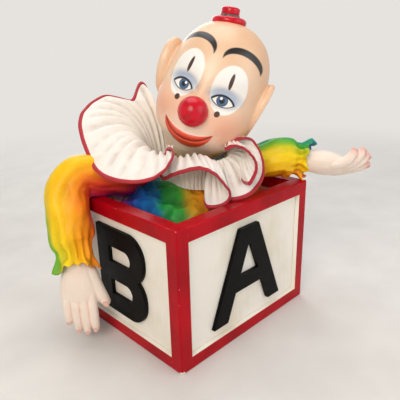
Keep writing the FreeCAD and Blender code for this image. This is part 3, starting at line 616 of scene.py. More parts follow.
body = {"halfX": 55.4, "halfY": 48.9, "rows": 90, "columns": 288, "seed": 6.3,
        "broad": 2.6, "ridge": 3.6, "small": 1.2, "sink": 3.0,
        # share of the way up the cloth, share of the half widths, height and squareness
        "levels": [(0.00, 0.00, 48.2, 2.0), (0.06, 0.55, 48.0, 3.0), (0.12, 0.84, 48.5, 4.0),
                   (0.22, 0.97, 58.0, 4.0), (0.36, 0.985, 76.0, 4.0), (0.47, 0.985, 88.0, 4.0),
                   (0.55, 0.93, 95.0, 3.6), (0.63, 0.80, 99.5, 3.0), (0.72, 0.66, 102.5, 2.6),
                   (0.82, 0.53, 105.5, 2.2), (0.92, 0.42, 109.0, 2.0), (1.00, 0.22, 110.2, 2.0)]}


def makeBody():
    rows, columns, seed = body["rows"], body["columns"], body["seed"]
    t = np.linspace(0, 1, rows)
    levels = through(body["levels"], t)
    points = np.zeros((rows, columns, 3))
    folds = np.zeros(points.shape[:2])
    for i in range(rows):
        share, z, power = levels[i]
        show = float(smoothStep(0.42, 0.6, t[i])) * (1 - float(smoothStep(0.9, 1.0, t[i])))
        flank = float(smoothStep(0.12, 0.22, t[i])) * (1 - float(smoothStep(0.5, 0.62, t[i])))
        for k in range(columns):
            a = 2 * math.pi * k / columns
            c, n = math.cos(a), math.sin(a)
            spread = (abs(c) ** power + abs(n) ** power) ** (-1 / max(power, 1.0))
            # the sides only draw in, so they stay clear of the block
            sag = wobble(4 * c, 4 * n, 2.2 * t[i], seed + 2)
            crease = abs(wobble(2.5 * c, 2.5 * n, 6 * t[i], seed + 6))
            spread *= 1 - flank * max(0.0, 0.035 - 0.05 * sag + 0.04 * (1 - 2.4 * crease))
            x, y = body["halfX"] * share * spread * c, body["halfY"] * share * spread * n
            broad = wobble(2.2 * c, 2.2 * n, 1.1 * t[i], seed)
            ridge = 1 - 2.4 * abs(wobble(x / 15, y / 15, 1.5 * t[i], seed + 3))
            small = 1 - 2.4 * abs(wobble(x / 7, y / 7, 2.0 * t[i], seed + 8))
            lift = body["broad"] * broad + body["ridge"] * ridge + body["small"] * small - body["sink"]
            points[i, k] = (x, y, z + show * lift)
            crown = 0.3 * broad + 1.2 * (ridge - 0.4) + 0.6 * (small - 0.4)
            folds[i, k] = show * crown + flank * (0.8 * sag + crease - 0.3)
    piece = gridPiece("satinBody", points)
    keepFold(piece, folds)
    # the body's folds get deeper painted shade than the sleeves'
    dress(piece, satinFinish("shadedRainbowSatinBody", satin["shadedBodyDye"], False, 0.55))
    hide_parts("body_cloth")
    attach(piece, "torso")


makeBody()
print("body stuffed")


# Ruff: a long strip of voile drawn up round the neck, its outer edge bound in red thread

ruff = {
    # points along the outer edge: angle from the near corner, reach, rise above the rim,
    # and the angle of the same thread at the neck
    "keys": [(-138, 51, 72, -138), (-118, 47, 61, -126), (-106, 63, 65, -114), (-95, 74, 57, -102),
             (-86, 76, 47, -91), (-72, 71, 29, -79), (-58, 68, 20, -66), (-42, 62, 17, -52),
             (-25, 58, 19, -38), (-13, 57, 26, -26), (-8, 51, 35, -18), (-14, 43, 37, -15),
             (-23, 40, 25, -13), (-20, 45, 17, -11), (-10, 48, 20.6, -7), (-0.4, 52, 24.4, -1),
             (10, 56, 27, 6), (18.5, 58, 23.5, 13), (25, 58, 16, 19), (31, 56, 8, 24),
             (30.7, 54, 1.7, 28), (25, 52, -1.5, 31), (15.8, 50, -1, 33), (18, 43, 3, 35),
             (32, 46, 1, 37), (39.8, 52, 0.8, 40), (52, 56, 3, 45), (59.5, 60, 11.5, 50),
             (62.5, 60, 20.5, 54), (64, 56, 31, 57), (60, 50, 39, 59), (48, 43, 38, 60),
             (38, 44, 34, 61), (40, 50, 37, 63), (43, 56, 36, 66), (46.6, 59.5, 31.5, 68.5),
             (48.7, 61.5, 26.5, 71), (48.9, 62, 21.5, 73.5), (46.8, 61.5, 16.5, 76), (44, 60, 12.5, 78),
             (50, 50, 12, 81), (64, 44, 20, 85), (80, 44, 26, 91), (97, 48, 26, 101),
             (112, 58, 22, 113), (126, 50, 14, 126), (142, 61, 32, 140), (158, 62, 20, 155),
             (170, 48, 15, 170), (184, 58, 34, 184), (198, 62, 27, 198), (210, 46, 40, 210)],
    # how the cloth leaves the neck: angle there, radius and rise of the sewn edge,
    # radius and rise that it stands up to
    "collar": [(-150, 26, 10.3, 33, 56), (-100, 26, 10.3, 33, 60), (-66, 26, 10.3, 33, 58),
               (-42, 26, 10.3, 33, 48), (-22, 28, 9.5, 34, 43), (0, 33, 7.0, 35, 42),
               (30, 34, 5.5, 35, 43), (55, 32, 7.0, 35, 44), (85, 27, 10, 34, 42),
               (130, 26, 10.3, 33, 40), (180, 26, 10.3, 33, 48), (222, 26, 10.3, 33, 58)],
    "nearCorner": 225.0, "rim": 100.0, "columns": 1200, "rows": 30,
    "pleats": 78, "pleatShare": 0.34, "pleatDepth": 1.7, "bindWide": 1.45, "bindThick": 0.85, "bindSides": 12,
    "threadSpacing": 0.93, "stitchRun": 900.0,
    "white": "#F4EFE7", "shade": "#DCD2C8", "thread": "#C4122B", "threadShade": "#8E0B1E"}


def ruffEdge(share):
    # a smooth closed curve through the keys
    keys = ruff["keys"]
    count = len(keys)
    place = share * count
    start = math.floor(place)
    t = place - start
    near = []
    for k in range(start - 1, start + 3):
        angle, reach, rise, inner = keys[k % count]
        near.append((angle + 360.0 * (k // count), reach, rise, inner + 360.0 * (k // count)))
    return [b + 0.5 * t * (c - a + t * (2 * a - 5 * b + 4 * c - d + t * (3 * (b - c) + d - a)))
            for a, b, c, d in zip(*near)]


def ruffPoint(share, t):
    # from the neck, at t of 0, the cloth stands up and then turns out to its edge, at t of 1
    angle, reach, rise, inner = ruffEdge(share)
    sewn, low, throat, high = through(ruff["collar"], inner)[0]
    stops = [(sewn, low, inner), (throat, high, inner),
             (throat + 0.55 * (reach - throat), rise + 0.45 * (high - rise), angle), (reach, rise, angle)]
    weights = ((1 - t) ** 3, 3 * t * (1 - t) ** 2, 3 * t * t * (1 - t), t ** 3)
    radius, height, turn = (sum(w * s[i] for w, s in zip(weights, stops)) for i in range(3))
    bearing = math.radians(ruff["nearCorner"] + turn)
    return (radius * math.cos(bearing), radius * math.sin(bearing), ruff["rim"] + height)


def voile():
    # crinkled cotton voile: thin, dull white, threads drawn coarser than life so they show, with painted
    # shade in the hollows of the pleats
    finish, tree, shader = startFinish("cottonVoile", Roughness=0.85, Sheen_Weight=0.3, Sheen_Roughness=0.5)
    at = objectPoint(tree)
    crinkle = addNode(tree, "TexNoise", {"Vector": at, "Scale": 0.14, "Detail": 5.0})
    # painted shade: the pleats' hollows are darker, mixed with random crinkle
    fold = addNode(tree, "Attribute", attribute_name="fold").node.outputs["Fac"]
    deep = addNode(tree, "MapRange", {"Value": fold, "From Min": -1.0, "From Max": 1.0})
    mixed = addNode(tree, "Math", {0: deep, 1: 0.9, 2: crinkle}, operation="MULTIPLY_ADD")
    tone = addNode(tree, "ValToRGB", {"Fac": mixed}, [(0.45, ruff["shade"]), (0.95, ruff["white"])])
    connect(tree, tone, shader, "Base Color")
    threads = addNode(tree, "TexWave", {"Vector": at, "Scale": diagonalWave / ruff["threadSpacing"],
                                        "Distortion": 2.0, "Detail": 2.0},
                      bands_direction="DIAGONAL").node.outputs["Fac"]
    height = addNode(tree, "Math", {0: threads, 1: 0.15, 2: crinkle}, operation="MULTIPLY_ADD")
    bump = addNode(tree, "Bump", {"Height": height, "Strength": 0.3, "Distance": 0.0006})
    connect(tree, bump, shader, "Normal")
    return finish


def redThread():
    # overlocked rayon thread: close stitches across the edge, about 0.8 mm apart, with a silky sheen
    finish, tree, shader = startFinish("overlockThread", Roughness=0.5, Sheen_Weight=0.3, Sheen_Roughness=0.4)
    lay = addNode(tree, "UVMap", uv_map="lay")
    stitches = addNode(tree, "VectorMath", {0: lay, 1: (1.0, ruff["stitchRun"], 1.0)}, operation="MULTIPLY")
    rows = addNode(tree, "TexWave", {"Vector": stitches, "Scale": 0.31, "Distortion": 0.4},
                   bands_direction="Y").node.outputs["Fac"]
    tone = addNode(tree, "ValToRGB", {"Fac": rows}, [(0.1, ruff["threadShade"]), (0.6, ruff["thread"])])
    connect(tree, tone, shader, "Base Color")
    bump = addNode(tree, "Bump", {"Height": rows, "Strength": 0.4, "Distance": 0.0004})
    connect(tree, bump, shader, "Normal")
    return finish


def makeRuff():
    columns, rows = ruff["columns"], ruff["rows"]
    base = np.array([[ruffPoint(k / columns, r / (rows - 1)) for k in range(columns)] for r in range(rows)])
    along = np.roll(base, -1, 1) - np.roll(base, 1, 1)
    outward = np.gradient(base, axis=0)
    normal = np.cross(outward, along)
    normal /= np.linalg.norm(normal, axis=2)[:, :, None]
    t = np.linspace(0, 1, rows)[:, None]
    share = np.arange(columns) / columns
    turn = 2 * math.pi * share

    def uneven(size, level, seed):
        return np.array([wobble(size * math.cos(a), size * math.sin(a), level, seed) for a in turn])

    drift = uneven(4, 0.5, 8.0)
    height = 0.75 + 0.5 * uneven(9, 3.0, 2.0)
    pleat = np.cos(2 * math.pi * ruff["pleats"] * share + 2.5 * drift) * height
    # a pleat is as deep as its width allows, and flattens towards the bound edge
    pitch = np.linalg.norm(along, axis=2) / 2 * columns / ruff["pleats"]
    depth = np.minimum(ruff["pleatShare"] * pitch, ruff["pleatDepth"])
    depth *= (0.5 + 0.5 * smoothStep(0.0, 0.15, t)) * (1 - 0.9 * smoothStep(0.6, 1.0, t))
    points = base + normal * (pleat[None] * depth)[:, :, None]
    piece = gridPiece("voileRuff", points)
    # the pleats' rise, which the finish reads to paint shade in their hollows
    keepFold(piece, pleat[None] * np.minimum(depth / 0.8, 1.0))
    dress(piece, voile())
    edge, inward, lie = points[-1], points[-2] - points[-1], normal[-1]
    inward /= np.linalg.norm(inward, axis=1)[:, None]
    bind = np.linspace(0, 2 * math.pi, ruff["bindSides"], endpoint=False)
    ring = (edge[:, None] + inward[:, None] * (ruff["bindWide"] * (0.45 + np.cos(bind)))[None, :, None]
            + lie[:, None] * (ruff["bindThick"] * np.sin(bind))[None, :, None])
    binding = gridPiece("ruffBinding", ring, joinEnds=True)
    dress(binding, redThread())
    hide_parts("ruff_collar")
    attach(piece, "torso")
    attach(binding, "torso")


makeRuff()
print("ruff gathered")


# Head: cast bisque with painted features of a plain traditional clown

head = {"width": 69.0, "depth": 74.0, "height": 92.5, "foot": 4.0, "faceAzimuth": -149.5,
        "columns": 360, "voxel": 0.6,
        # share of the height, shares of the width and depth, and shift to the back
        "outline": [(-0.04, 0.46, 0.42, 0.00), (0.06, 0.62, 0.60, -0.04), (0.16, 0.84, 0.85, -0.07),
                    (0.32, 0.99, 0.99, -0.05), (0.52, 1.00, 1.00, -0.01), (0.70, 0.95, 0.97, 0.01),
                    (0.84, 0.80, 0.84, 0.02), (0.94, 0.55, 0.58, 0.03), (0.99, 0.24, 0.25, 0.03)],
        # place, spread and height of the cheeks, chin, brow bones, sockets, bridge and mouth corners
        "swells": [(21, 33, 9, 9, 1.9), (0, 7.5, 9, 5, 2.0), (14, 61, 9, 5, 0.8), (14, 50, 10, 8, -1.5),
                   (0, 53, 5, 9, 1.0), (18.6, 27.5, 1.8, 3.2, -0.9)],
        # circles as centre height and radius: upper and lower lid, painted mouth and its upper edge, lip line
        "eyeSide": 14.0, "lids": ((44.0, 7.91), (55.3, 9.43)), "mouth": ((29.1, 17.1), (53.4, 31.4)),
        "lipLine": (36.6, 19.0),
        "earHeight": 40.0, "earLength": 24.0, "earTilt": 6.0, "earColumns": 96,
        # rings from the hollow of the ear, over the fold and the rolled rim, to its back: reach and height
        "earRings": [(0.0, -0.6), (0.25, -1.0), (0.42, -0.2), (0.55, 1.8), (0.66, 1.6), (0.78, 0.6),
                     (0.88, 1.9), (0.96, 2.9), (1.0, 2.4), (1.02, 1.0), (0.98, -0.8), (0.88, -2.6),
                     (0.66, -4.6), (0.36, -6.0), (0.0, -6.4)],
        # place and turn of the right and the left ear, which lies lower and closer to the head
        "ears": {-1: (34.5, -2.0, 52.5, 27.0), 1: (33.6, -1.0, 49.5, 16.0)}}


def headMatrix():
    up = Vector(joints["head_turn"]["axis"]).normalized()
    a = math.radians(head["faceAzimuth"])
    ahead = Vector((math.cos(a), math.sin(a), 0.0))
    ahead = (ahead - up * ahead.dot(up)).normalized()
    turn = Matrix((up.cross(ahead), -ahead, up)).transposed().to_4x4()
    return Matrix.Translation(Vector(joints["head_turn"]["pos_m"])) @ turn


def faceRelief(x, z):
    # how far the face stands out of the plain skull, by distance to the side and height
    push = np.zeros_like(x)
    for cx, cz, sx, sz, rise in head["swells"]:
        push += rise * np.exp(-((x - cx) / sx) ** 2 - ((z - cz) / sz) ** 2)
    (upper, upperR), (lower, lowerR) = head["lids"]
    aside = x - head["eyeSide"]
    eye = np.minimum(upperR - np.hypot(aside, z - upper), lowerR - np.hypot(aside, z - lower))
    push += 1.1 * np.exp(-((eye + 0.9) / 0.8) ** 2) + 1.0 * smoothStep(0.2, 2.8, eye)
    push -= 0.7 * np.exp(-((eye + 3.4) / 0.8) ** 2) * smoothStep(48, 50, z)
    (low, lowR), (high, highR) = head["mouth"]
    lips = np.minimum(lowR - np.hypot(x, z - low), np.hypot(x, z - high) - highR)
    push += 1.9 * np.sqrt(1 - (1 - np.clip(lips / 3.2, 0, 1)) ** 2)
    line, lineR = head["lipLine"]
    push -= 1.9 * np.exp(-((np.hypot(x, z - line) - lineR) / 0.75) ** 2) * smoothStep(0.0, 0.8, lips)
    return push


def makeSkull():
    keys = np.array(head["outline"])
    squared = np.column_stack([keys[:, 0], keys[:, 1] ** 2, keys[:, 2] ** 2, keys[:, 3]])
    squared = np.vstack([squared, [1.0, 0.0004, 0.0004, 0.03]])
    shares = np.concatenate([np.linspace(-0.04, 0.9, 180), 1 - 0.1 * np.linspace(0.98, 0.02, 30) ** 2])
    rings = through(squared, shares)
    columns = head["columns"]
    points = np.zeros((len(shares), columns, 3))
    angles = np.linspace(0, 2 * math.pi, columns, endpoint=False)
    front = smoothStep(0.1, 0.5, -np.sin(angles))
    for i, share in enumerate(shares):
        wide = math.sqrt(max(rings[i, 0], 1e-4)) * head["width"] / 2
        deep = math.sqrt(max(rings[i, 1], 1e-4)) * head["depth"] / 2
        z = head["foot"] + share * head["height"]
        x, y = wide * np.cos(angles), deep * np.sin(angles) + rings[i, 2] * head["depth"]
        push = faceRelief(np.abs(x), np.full(columns, z)) * front
        points[i, :, 0] = x + push * 0.25 * np.cos(angles)
        points[i, :, 1] = y + push * np.sin(angles)
        points[i, :, 2] = z
    cap = np.repeat(points[-1:].mean(1, keepdims=True), columns, 1)
    floor = np.repeat(points[:1].mean(1, keepdims=True), columns, 1)
    return gridPiece("skull", np.concatenate([floor, points, cap]))


def makeEar(side):
    rings, columns = head["earRings"], head["earColumns"]
    points = np.zeros((len(rings), columns, 3))
    for i, (reach, out) in enumerate(rings):
        for k in range(columns):
            a = 2 * math.pi * k / columns
            # a broad upper rim, a nick low at the back and a narrower lobe
            nick = math.exp(-((a - 5.6) / 0.28) ** 2) if a > math.pi else 0.0
            egg = 1 + 0.10 * math.sin(a) - 0.10 * nick * reach
            back = reach * math.cos(a) * head["earLength"] / 2 * egg
            rise = reach * math.sin(a) * head["earHeight"] / 2
            points[i, k] = (side * (out + 0.10 * back), back, rise)
    ear = gridPiece("ear", points)
    x, y, z, turn = head["ears"][side]
    spin = Matrix.Rotation(math.radians(side * turn), 4, "Z")
    tilt = Matrix.Rotation(math.radians(side * head["earTilt"]), 4, "Y")
    ear.data.transform(Matrix.Translation(Vector((side * x, y, z)) * mm) @ spin @ tilt)
    return ear


makeUp = {"skin": "#EBC6A4", "skinPale": "#F1D3B6", "crown": "#E2AA76", "back": "#E5AC7C",
          "muzzle": "#F7E6D3", "cheek": "#EC9A78", "ovals": "#F7F3EC", "brow": "#17120F",
          "shadow": "#7C97B8", "strokes": "#4A2C22", "lash": "#171110", "eyeWhite": "#F5F2EC",
          "lips": "#DB4A27", "parting": "#7E1712",
          # rounds of the eye: shift to the side and up, radius and colour; the last, white one is a painted
          # highlight
          "eyeRounds": [(0.0, 0.0, 3.5, "#1D2A3C"), (0.0, 0.0, 3.0, "#41658F"), (0.0, 0.0, 1.7, "#07080B"),
                        (-1.0, 1.2, 0.85, "#FFFFFF")]}


def paintedBisque():
    # bisque porcelain: matt fired skin tint, brushed make-up in enamel with crisp edges
    finish, tree, shader = startFinish("paintedBisque", Roughness=0.36, Subsurface_Weight=0.06,
                                       Subsurface_Radius=(0.004, 0.002, 0.001),
                                       Coat_Weight=0.15, Coat_Roughness=0.25)
    at = objectPoint(tree)
    split = addNode(tree, "SeparateXYZ", {"Vector": at}).node
    mirrored = addNode(tree, "Math", {0: split.outputs[0]}, operation="ABSOLUTE")
    flat = addNode(tree, "CombineXYZ", {"X": mirrored, "Z": split.outputs[2]})
    front = addNode(tree, "MapRange", {"Value": split.outputs[1], "From Min": -6.0, "From Max": -10.0})

    def spot(x, z, wide, high, turn=0.0, soft=0.06):
        # a filled ellipse on the front of the face, seen straight on
        moved = addNode(tree, "Mapping", {"Vector": flat, "Location": (x, 0.0, z), "Scale": (wide, 1.0, high),
                                          "Rotation": (0.0, math.radians(turn), 0.0)}, vector_type="TEXTURE")
        reach = addNode(tree, "VectorMath", {0: moved}, operation="LENGTH").node.outputs["Value"]
        inside = addNode(tree, "MapRange", {"Value": reach, "From Min": 1.0 + soft, "From Max": 1.0 - soft})
        return addNode(tree, "Math", {0: inside, 1: front}, operation="MULTIPLY")

    def disc(x, z, radius, soft):
        return spot(x, z, radius, radius, soft=soft)

    def without(whole, taken):
        return addNode(tree, "Math", {0: whole, 1: taken}, operation="SUBTRACT", use_clamp=True)

    def times(one, other):
        return addNode(tree, "Math", {0: one, 1: other}, operation="MULTIPLY")

    def lay(under, mask, code):
        return addNode(tree, "MixRGB", {"Fac": mask, "Color1": under, "Color2": toLinear(code)})

    mottle = addNode(tree, "TexNoise", {"Vector": at, "Scale": 0.05, "Detail": 4.0})
    colour = addNode(tree, "ValToRGB", {"Fac": mottle}, [(0.3, makeUp["skin"]), (0.7, makeUp["skinPale"])])
    # the tint deepens to the crown and to the back
    crown = {"Value": split.outputs[2], "From Min": 58.0, "From Max": 92.0, "To Max": 0.5}
    colour = lay(colour, addNode(tree, "MapRange", crown), makeUp["crown"])
    behind = {"Value": split.outputs[1], "From Min": -22.0, "From Max": 4.0, "To Max": 0.6}
    colour = lay(colour, addNode(tree, "MapRange", behind), makeUp["back"])
    # a pale muzzle and flushed cheeks, brushed on softly
    colour = lay(colour, times(spot(0.0, 18.0, 27.0, 17.0, soft=0.4), 0.7), makeUp["muzzle"])
    colour = lay(colour, times(spot(23.0, 32.0, 12.0, 10.0, soft=0.8), 0.65), makeUp["cheek"])
    # white ovals round the eyes, with brows that stand clear of them
    colour = lay(colour, spot(14.6, 56.5, 10.6, 15.6, -5.0, 0.025), makeUp["ovals"])
    brow = without(spot(15.2, 74.2, 12.6, 8.6, 10.0, 0.03), spot(15.5, 70.4, 12.4, 8.3, 10.0, 0.03))
    colour = lay(colour, brow, makeUp["brow"])
    # blue shadow on the lids, a fine stroke over each eye and a dot under it
    colour = lay(colour, times(spot(14.0, 51.4, 9.4, 5.4, 0.0, 0.4), 0.75), makeUp["shadow"])
    colour = lay(colour, spot(14.2, 62.0, 1.2, 5.2, -4.0, 0.1), makeUp["strokes"])
    colour = lay(colour, spot(14.0, 40.6, 1.7, 1.9, 0.0, 0.08), makeUp["strokes"])
    # each eye is where two circles cross, with a dark line round it
    side = head["eyeSide"]
    (upper, upperR), (lower, lowerR) = head["lids"]
    lash = times(disc(side, upper, upperR + 1.3, 0.02), disc(side, lower, lowerR + 0.6, 0.02))
    colour = lay(colour, lash, makeUp["lash"])
    opening = times(disc(side, upper, upperR, 0.02), disc(side, lower, lowerR, 0.02))
    colour = lay(colour, opening, makeUp["eyeWhite"])
    middle = (upper + upperR + lower - lowerR) / 2 + 0.4
    # the dark rim, iris and pupil, then a painted highlight
    for across, rise, size, code in makeUp["eyeRounds"]:
        mask = times(disc(side - 0.6 + across, middle + rise, size, 0.06), opening)
        colour = lay(colour, mask, code)
    # painted mouth with a darker line where the lips meet
    (low, lowR), (top, topR) = head["mouth"]
    lips = without(disc(0.0, low, lowR, 0.012), disc(0.0, top, topR, 0.007))
    colour = lay(colour, lips, makeUp["lips"])
    line, lineR = head["lipLine"]
    parting = without(disc(0.0, line, lineR + 0.5, 0.012), disc(0.0, line, lineR - 0.4, 0.012))
    colour = lay(colour, times(parting, lips), makeUp["parting"])
    connect(tree, colour, shader, "Base Color")
    grain = addNode(tree, "TexNoise", {"Vector": at, "Scale": 0.6, "Detail": 6.0})
    rough = addNode(tree, "MapRange", {"Value": grain, "To Min": 0.28, "To Max": 0.46})
    connect(tree, rough, shader, "Roughness")
    bump = addNode(tree, "Bump", {"Height": grain, "Strength": 0.06, "Distance": 0.0004})
    connect(tree, bump, shader, "Normal")
    return finish


def makeHead():
    skin = fuse("bisqueHead", [makeSkull(), makeEar(-1), makeEar(1)], head["voxel"])
    dress(skin, paintedBisque())
    skin.matrix_world = headMatrix()
    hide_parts("head")
    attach(skin, "head")


makeHead()
print("head fired")


# Nose and hat: glazed red, the hat with a grey band

trim = {"noseRadius": 9.7, "noseOut": 0.45, "noseHeight": 36.5,
        "hatSeat": (-8.5, 1.2, 95.0), "hatLean": -15.0,
        # radius and height pairs above the hat's seat
        "brim": [(0.2, -3.0), (6.0, -3.1), (8.6, -3.1), (10.6, -2.4), (11.7, -0.9), (11.8, 0.5), (11.2, 1.8),
                 (10.0, 2.6), (8.8, 2.7), (7.6, 2.2), (6.9, 1.6), (0.2, 1.6)],
        "band": [(0.2, 1.5), (6.7, 1.5), (6.9, 2.0), (6.8, 3.2), (6.6, 4.1), (6.3, 4.4), (0.2, 4.4)],
        "crown": [(0.2, 4.2), (6.0, 4.2), (6.3, 4.9), (6.2, 6.6), (6.3, 7.6), (6.0, 8.5), (5.2, 9.0),
                  (4.4, 8.8), (3.4, 8.3), (1.6, 8.0), (0.05, 7.9)],
        "red": "#CE0A24", "darkRed": "#B4061B",
        "grey": "#4A4644", "greyPale": "#77716C", "greyWorn": "#6B2A2C"}


def redGlaze():
    # glazed earthenware: wet red, darker where the glaze lies thin
    finish, tree, shader = startFinish("redGlaze", Roughness=0.26, Specular_IOR_Level=0.28,
                                       Coat_Weight=0.12, Coat_Roughness=0.12)
    flow = addNode(tree, "TexNoise", {"Vector": objectPoint(tree), "Scale": 0.16, "Detail": 4.0})
    tone = addNode(tree, "ValToRGB", {"Fac": flow}, [(0.28, trim["darkRed"]), (0.5, trim["red"])])
    connect(tree, tone, shader, "Base Color")
    bump = addNode(tree, "Bump", {"Height": flow, "Strength": 0.1, "Distance": 0.0006})
    connect(tree, bump, shader, "Normal")
    return finish


def greyGlaze():
    # brushed grey glaze round the hat: uneven, with red showing through
    finish, tree, shader = startFinish("greyGlaze", Roughness=0.35)
    flow = addNode(tree, "TexNoise", {"Vector": objectPoint(tree), "Scale": 0.3, "Detail": 5.0})
    tones = [(0.3, trim["greyWorn"]), (0.45, trim["grey"]), (0.7, trim["greyPale"])]
    tone = addNode(tree, "ValToRGB", {"Fac": flow}, tones)
    connect(tree, tone, shader, "Base Color")
    return finish


def noseProfile():
    r = trim["noseRadius"]
    arc = np.linspace(math.pi - 0.5, 0.01, 48)
    return [(r * math.sin(a) * (1 + 0.015 * math.cos(3 * a)), r * math.cos(a)) for a in arc]


def makeTrim():
    place = headMatrix()
    red, grey = redGlaze(), greyGlaze()
    out = head["depth"] / 2 + trim["noseRadius"] * trim["noseOut"]
    nosePlace = Matrix.Translation(Vector((0.0, -out, trim["noseHeight"])) * mm)
    noseSeat = place @ nosePlace @ Matrix.Rotation(math.radians(90), 4, "X")
    hatPlace = Matrix.Translation(Vector(trim["hatSeat"]) * mm)
    hatSeat = place @ hatPlace @ Matrix.Rotation(math.radians(trim["hatLean"]), 4, "Y")
    pieces = ((lathe("noseBall", noseProfile(), 80), noseSeat, red, "red_glaze", "nose"),
              (lathe("hatBrimRoll", trim["brim"]), hatSeat, red, "red_glaze", "hat_brim"),
              (lathe("hatBandRing", trim["band"]), hatSeat, grey, "grey_glaze", "hat_band"),
              (lathe("hatCrownCap", trim["crown"]), hatSeat, red, "red_glaze", "hat_crown"))
    for piece, seat, finish, slot, node in pieces:
        piece.matrix_world = seat
        dress(piece, finish)
        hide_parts(node)
        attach(piece, "head")


makeTrim()
print("nose and hat glazed")


# Hands: cast bisque, flushed at the fingertips, with painted shade in the creases and pale nails

hands = {
    # curls: bend of each finger in degrees, from the first to the little one; knuckle: bend of the whole row;
    # turn: swing of the row across the palm; full and deep: swell of the fingers and the palm;
    # back: how far the row lies towards the back of the hand
    "right": {"palm": (1, 1, 0), "thumb": 1, "curls": (10.0, 11.0, 12.0, 13.0),
              "lengths": (27.6, 30.0, 28.5, 22.2), "spread": 0.3, "knuckle": 0.0, "turn": 0.0,
              "full": 1.0, "deep": 1.0, "back": 0.3, "flush": 0.2},
    "left": {"palm": (0.34, 0.34, 0.88), "thumb": -1, "curls": (8.0, 18.0, 27.0, 34.0),
             "lengths": (26.0, 27.5, 25.5, 18.5), "spread": 2.6, "knuckle": 10.0, "turn": 22.0,
             "full": 1.14, "deep": 1.4, "back": 2.6, "flush": 0.9},
}
handForm = {"palmLength": 25.0, "palmWidth": 25.5, "fingerRadius": 3.4,
            "rings": 28, "sides": 24, "voxel": 0.4,
            "thumbLength": 25.0, "thumbRadius": 4.2, "thumbTilt": 25.0, "thumbPlace": (0.62, -1.2, 0.3),
            # share of the palm's length, half width and half thickness
            "palm": [(-0.5, 8.2, 8.2), (-0.15, 8.5, 8.3), (0.1, 9.9, 8.0), (0.45, 12.3, 7.4),
                     (0.75, 13.0, 5.8), (0.95, 12.6, 4.3), (1.05, 11.4, 3.1)],
            # each finger's place across the palm, its fan and its girth
            "fingers": [(0.72, 1.6, 0.98), (0.24, 0.5, 1.0), (-0.24, -0.5, 0.99), (-0.72, -1.7, 0.93)],
            # shares of the radius from root to tip, across and through
            "fingerTaper": [(1.0, 1.0), (1.0, 1.02), (0.99, 0.99), (0.92, 0.88), (0.74, 0.66)],
            "thumbTaper": [(1.4, 1.35), (1.4, 1.35), (1.1, 1.0), (0.94, 0.88), (0.74, 0.66)],
            # bend and length of the three bones, as shares of the finger's
            "bones": [(0.4, 0.42), (1.2, 0.34), (2.0, 0.20)],
            "skin": "#F2E2D3", "blushAndCreaseShade": "#E3A696", "nail": "#E0AB9C", "nailPale": "#EAC3B5",
            # half width, half length, rise, roundness, way back and dip as shares of the radius
            "nailForm": (0.48, 0.55, 0.80, 0.95, 0.25, 0.35), "nailProud": 0.12}


def tubePiece(name, line, radius, taper):
    line, taper, count = np.array(line, float), np.array(taper), handForm["sides"]
    keys = np.column_stack([np.arange(len(line)), line, radius * taper])
    path = through(keys, np.linspace(0, len(line) - 1, handForm["rings"]))
    middle, wide, high = path[:, None, :3], path[:, 3:4], path[:, 4:5]
    tangents, sides, across = tubeFrames(path[:, :3], (1, 0, 0))
    turn = np.linspace(0, 2 * math.pi, count, endpoint=False)
    points = (middle + sides[:, None] * (np.cos(turn)[None] * wide)[:, :, None]
              + across[:, None] * (np.sin(turn)[None] * high)[:, :, None])
    first = np.repeat(middle[:1], count, 1)
    # the end closes in a low dome
    ahead = tangents[-1:, None] * wide[-1, 0]
    dome = middle[-1:] + ahead * 0.4 + (points[-1:] - middle[-1:]) * 0.6
    last = np.repeat(middle[-1:] + ahead * 0.55, count, 1)
    return gridPiece(name, np.concatenate([first, points, dome, last]))


def fingerLine(base, tilt, knuckle, bend, length):
    lean, first, fold = math.radians(tilt), math.radians(knuckle), math.radians(bend)
    ahead = np.array([math.sin(lean), 0, math.cos(lean)])
    back = np.array([0.0, 1.0, 0.0])
    place = np.array(base, float)
    line = [place - ahead * 5, place]
    for part, share in handForm["bones"]:
        way = ahead * math.cos(first + fold * part) - back * math.sin(first + fold * part)
        place = place + way * (length * share)
        line.append(place)
    return line


def swung(pose, across, along):
    # a knuckle's place after the row of knuckles swings round the middle of the palm
    swing, middle = math.radians(pose["turn"]), handForm["palmLength"] * 0.7
    return (across * math.cos(swing) + (along - middle) * math.sin(swing), pose["back"],
            middle + (along - middle) * math.cos(swing) - across * math.sin(swing))


def bisqueSkin():
    # bisque porcelain with a brushed flush at the fingertips and painted shade in the creases: pale, even,
    # slightly waxy
    finish, tree, shader = startFinish("bisqueSkin", Roughness=0.4, Subsurface_Weight=0.06,
                                       Subsurface_Radius=(0.004, 0.002, 0.001))
    at = objectPoint(tree)
    # the attribute carries the fingertip flush and the painted shade of the creases
    flush = addNode(tree, "Attribute", attribute_name="fold").node.outputs["Fac"]
    mottle = addNode(tree, "TexNoise", {"Vector": at, "Scale": 0.11, "Detail": 4.0})
    mixed = addNode(tree, "Math", {0: mottle, 1: 0.5, 2: flush}, operation="MULTIPLY_ADD")
    tone = addNode(tree, "ValToRGB", {"Fac": mixed}, [(0.24, handForm["skin"]), (0.95, handForm["blushAndCreaseShade"])])
    connect(tree, tone, shader, "Base Color")
    grain = addNode(tree, "TexNoise", {"Vector": at, "Scale": 0.7, "Detail": 5.0})
    bump = addNode(tree, "Bump", {"Height": grain, "Strength": 0.06, "Distance": 0.0004})
    connect(tree, bump, shader, "Normal")
    return finish


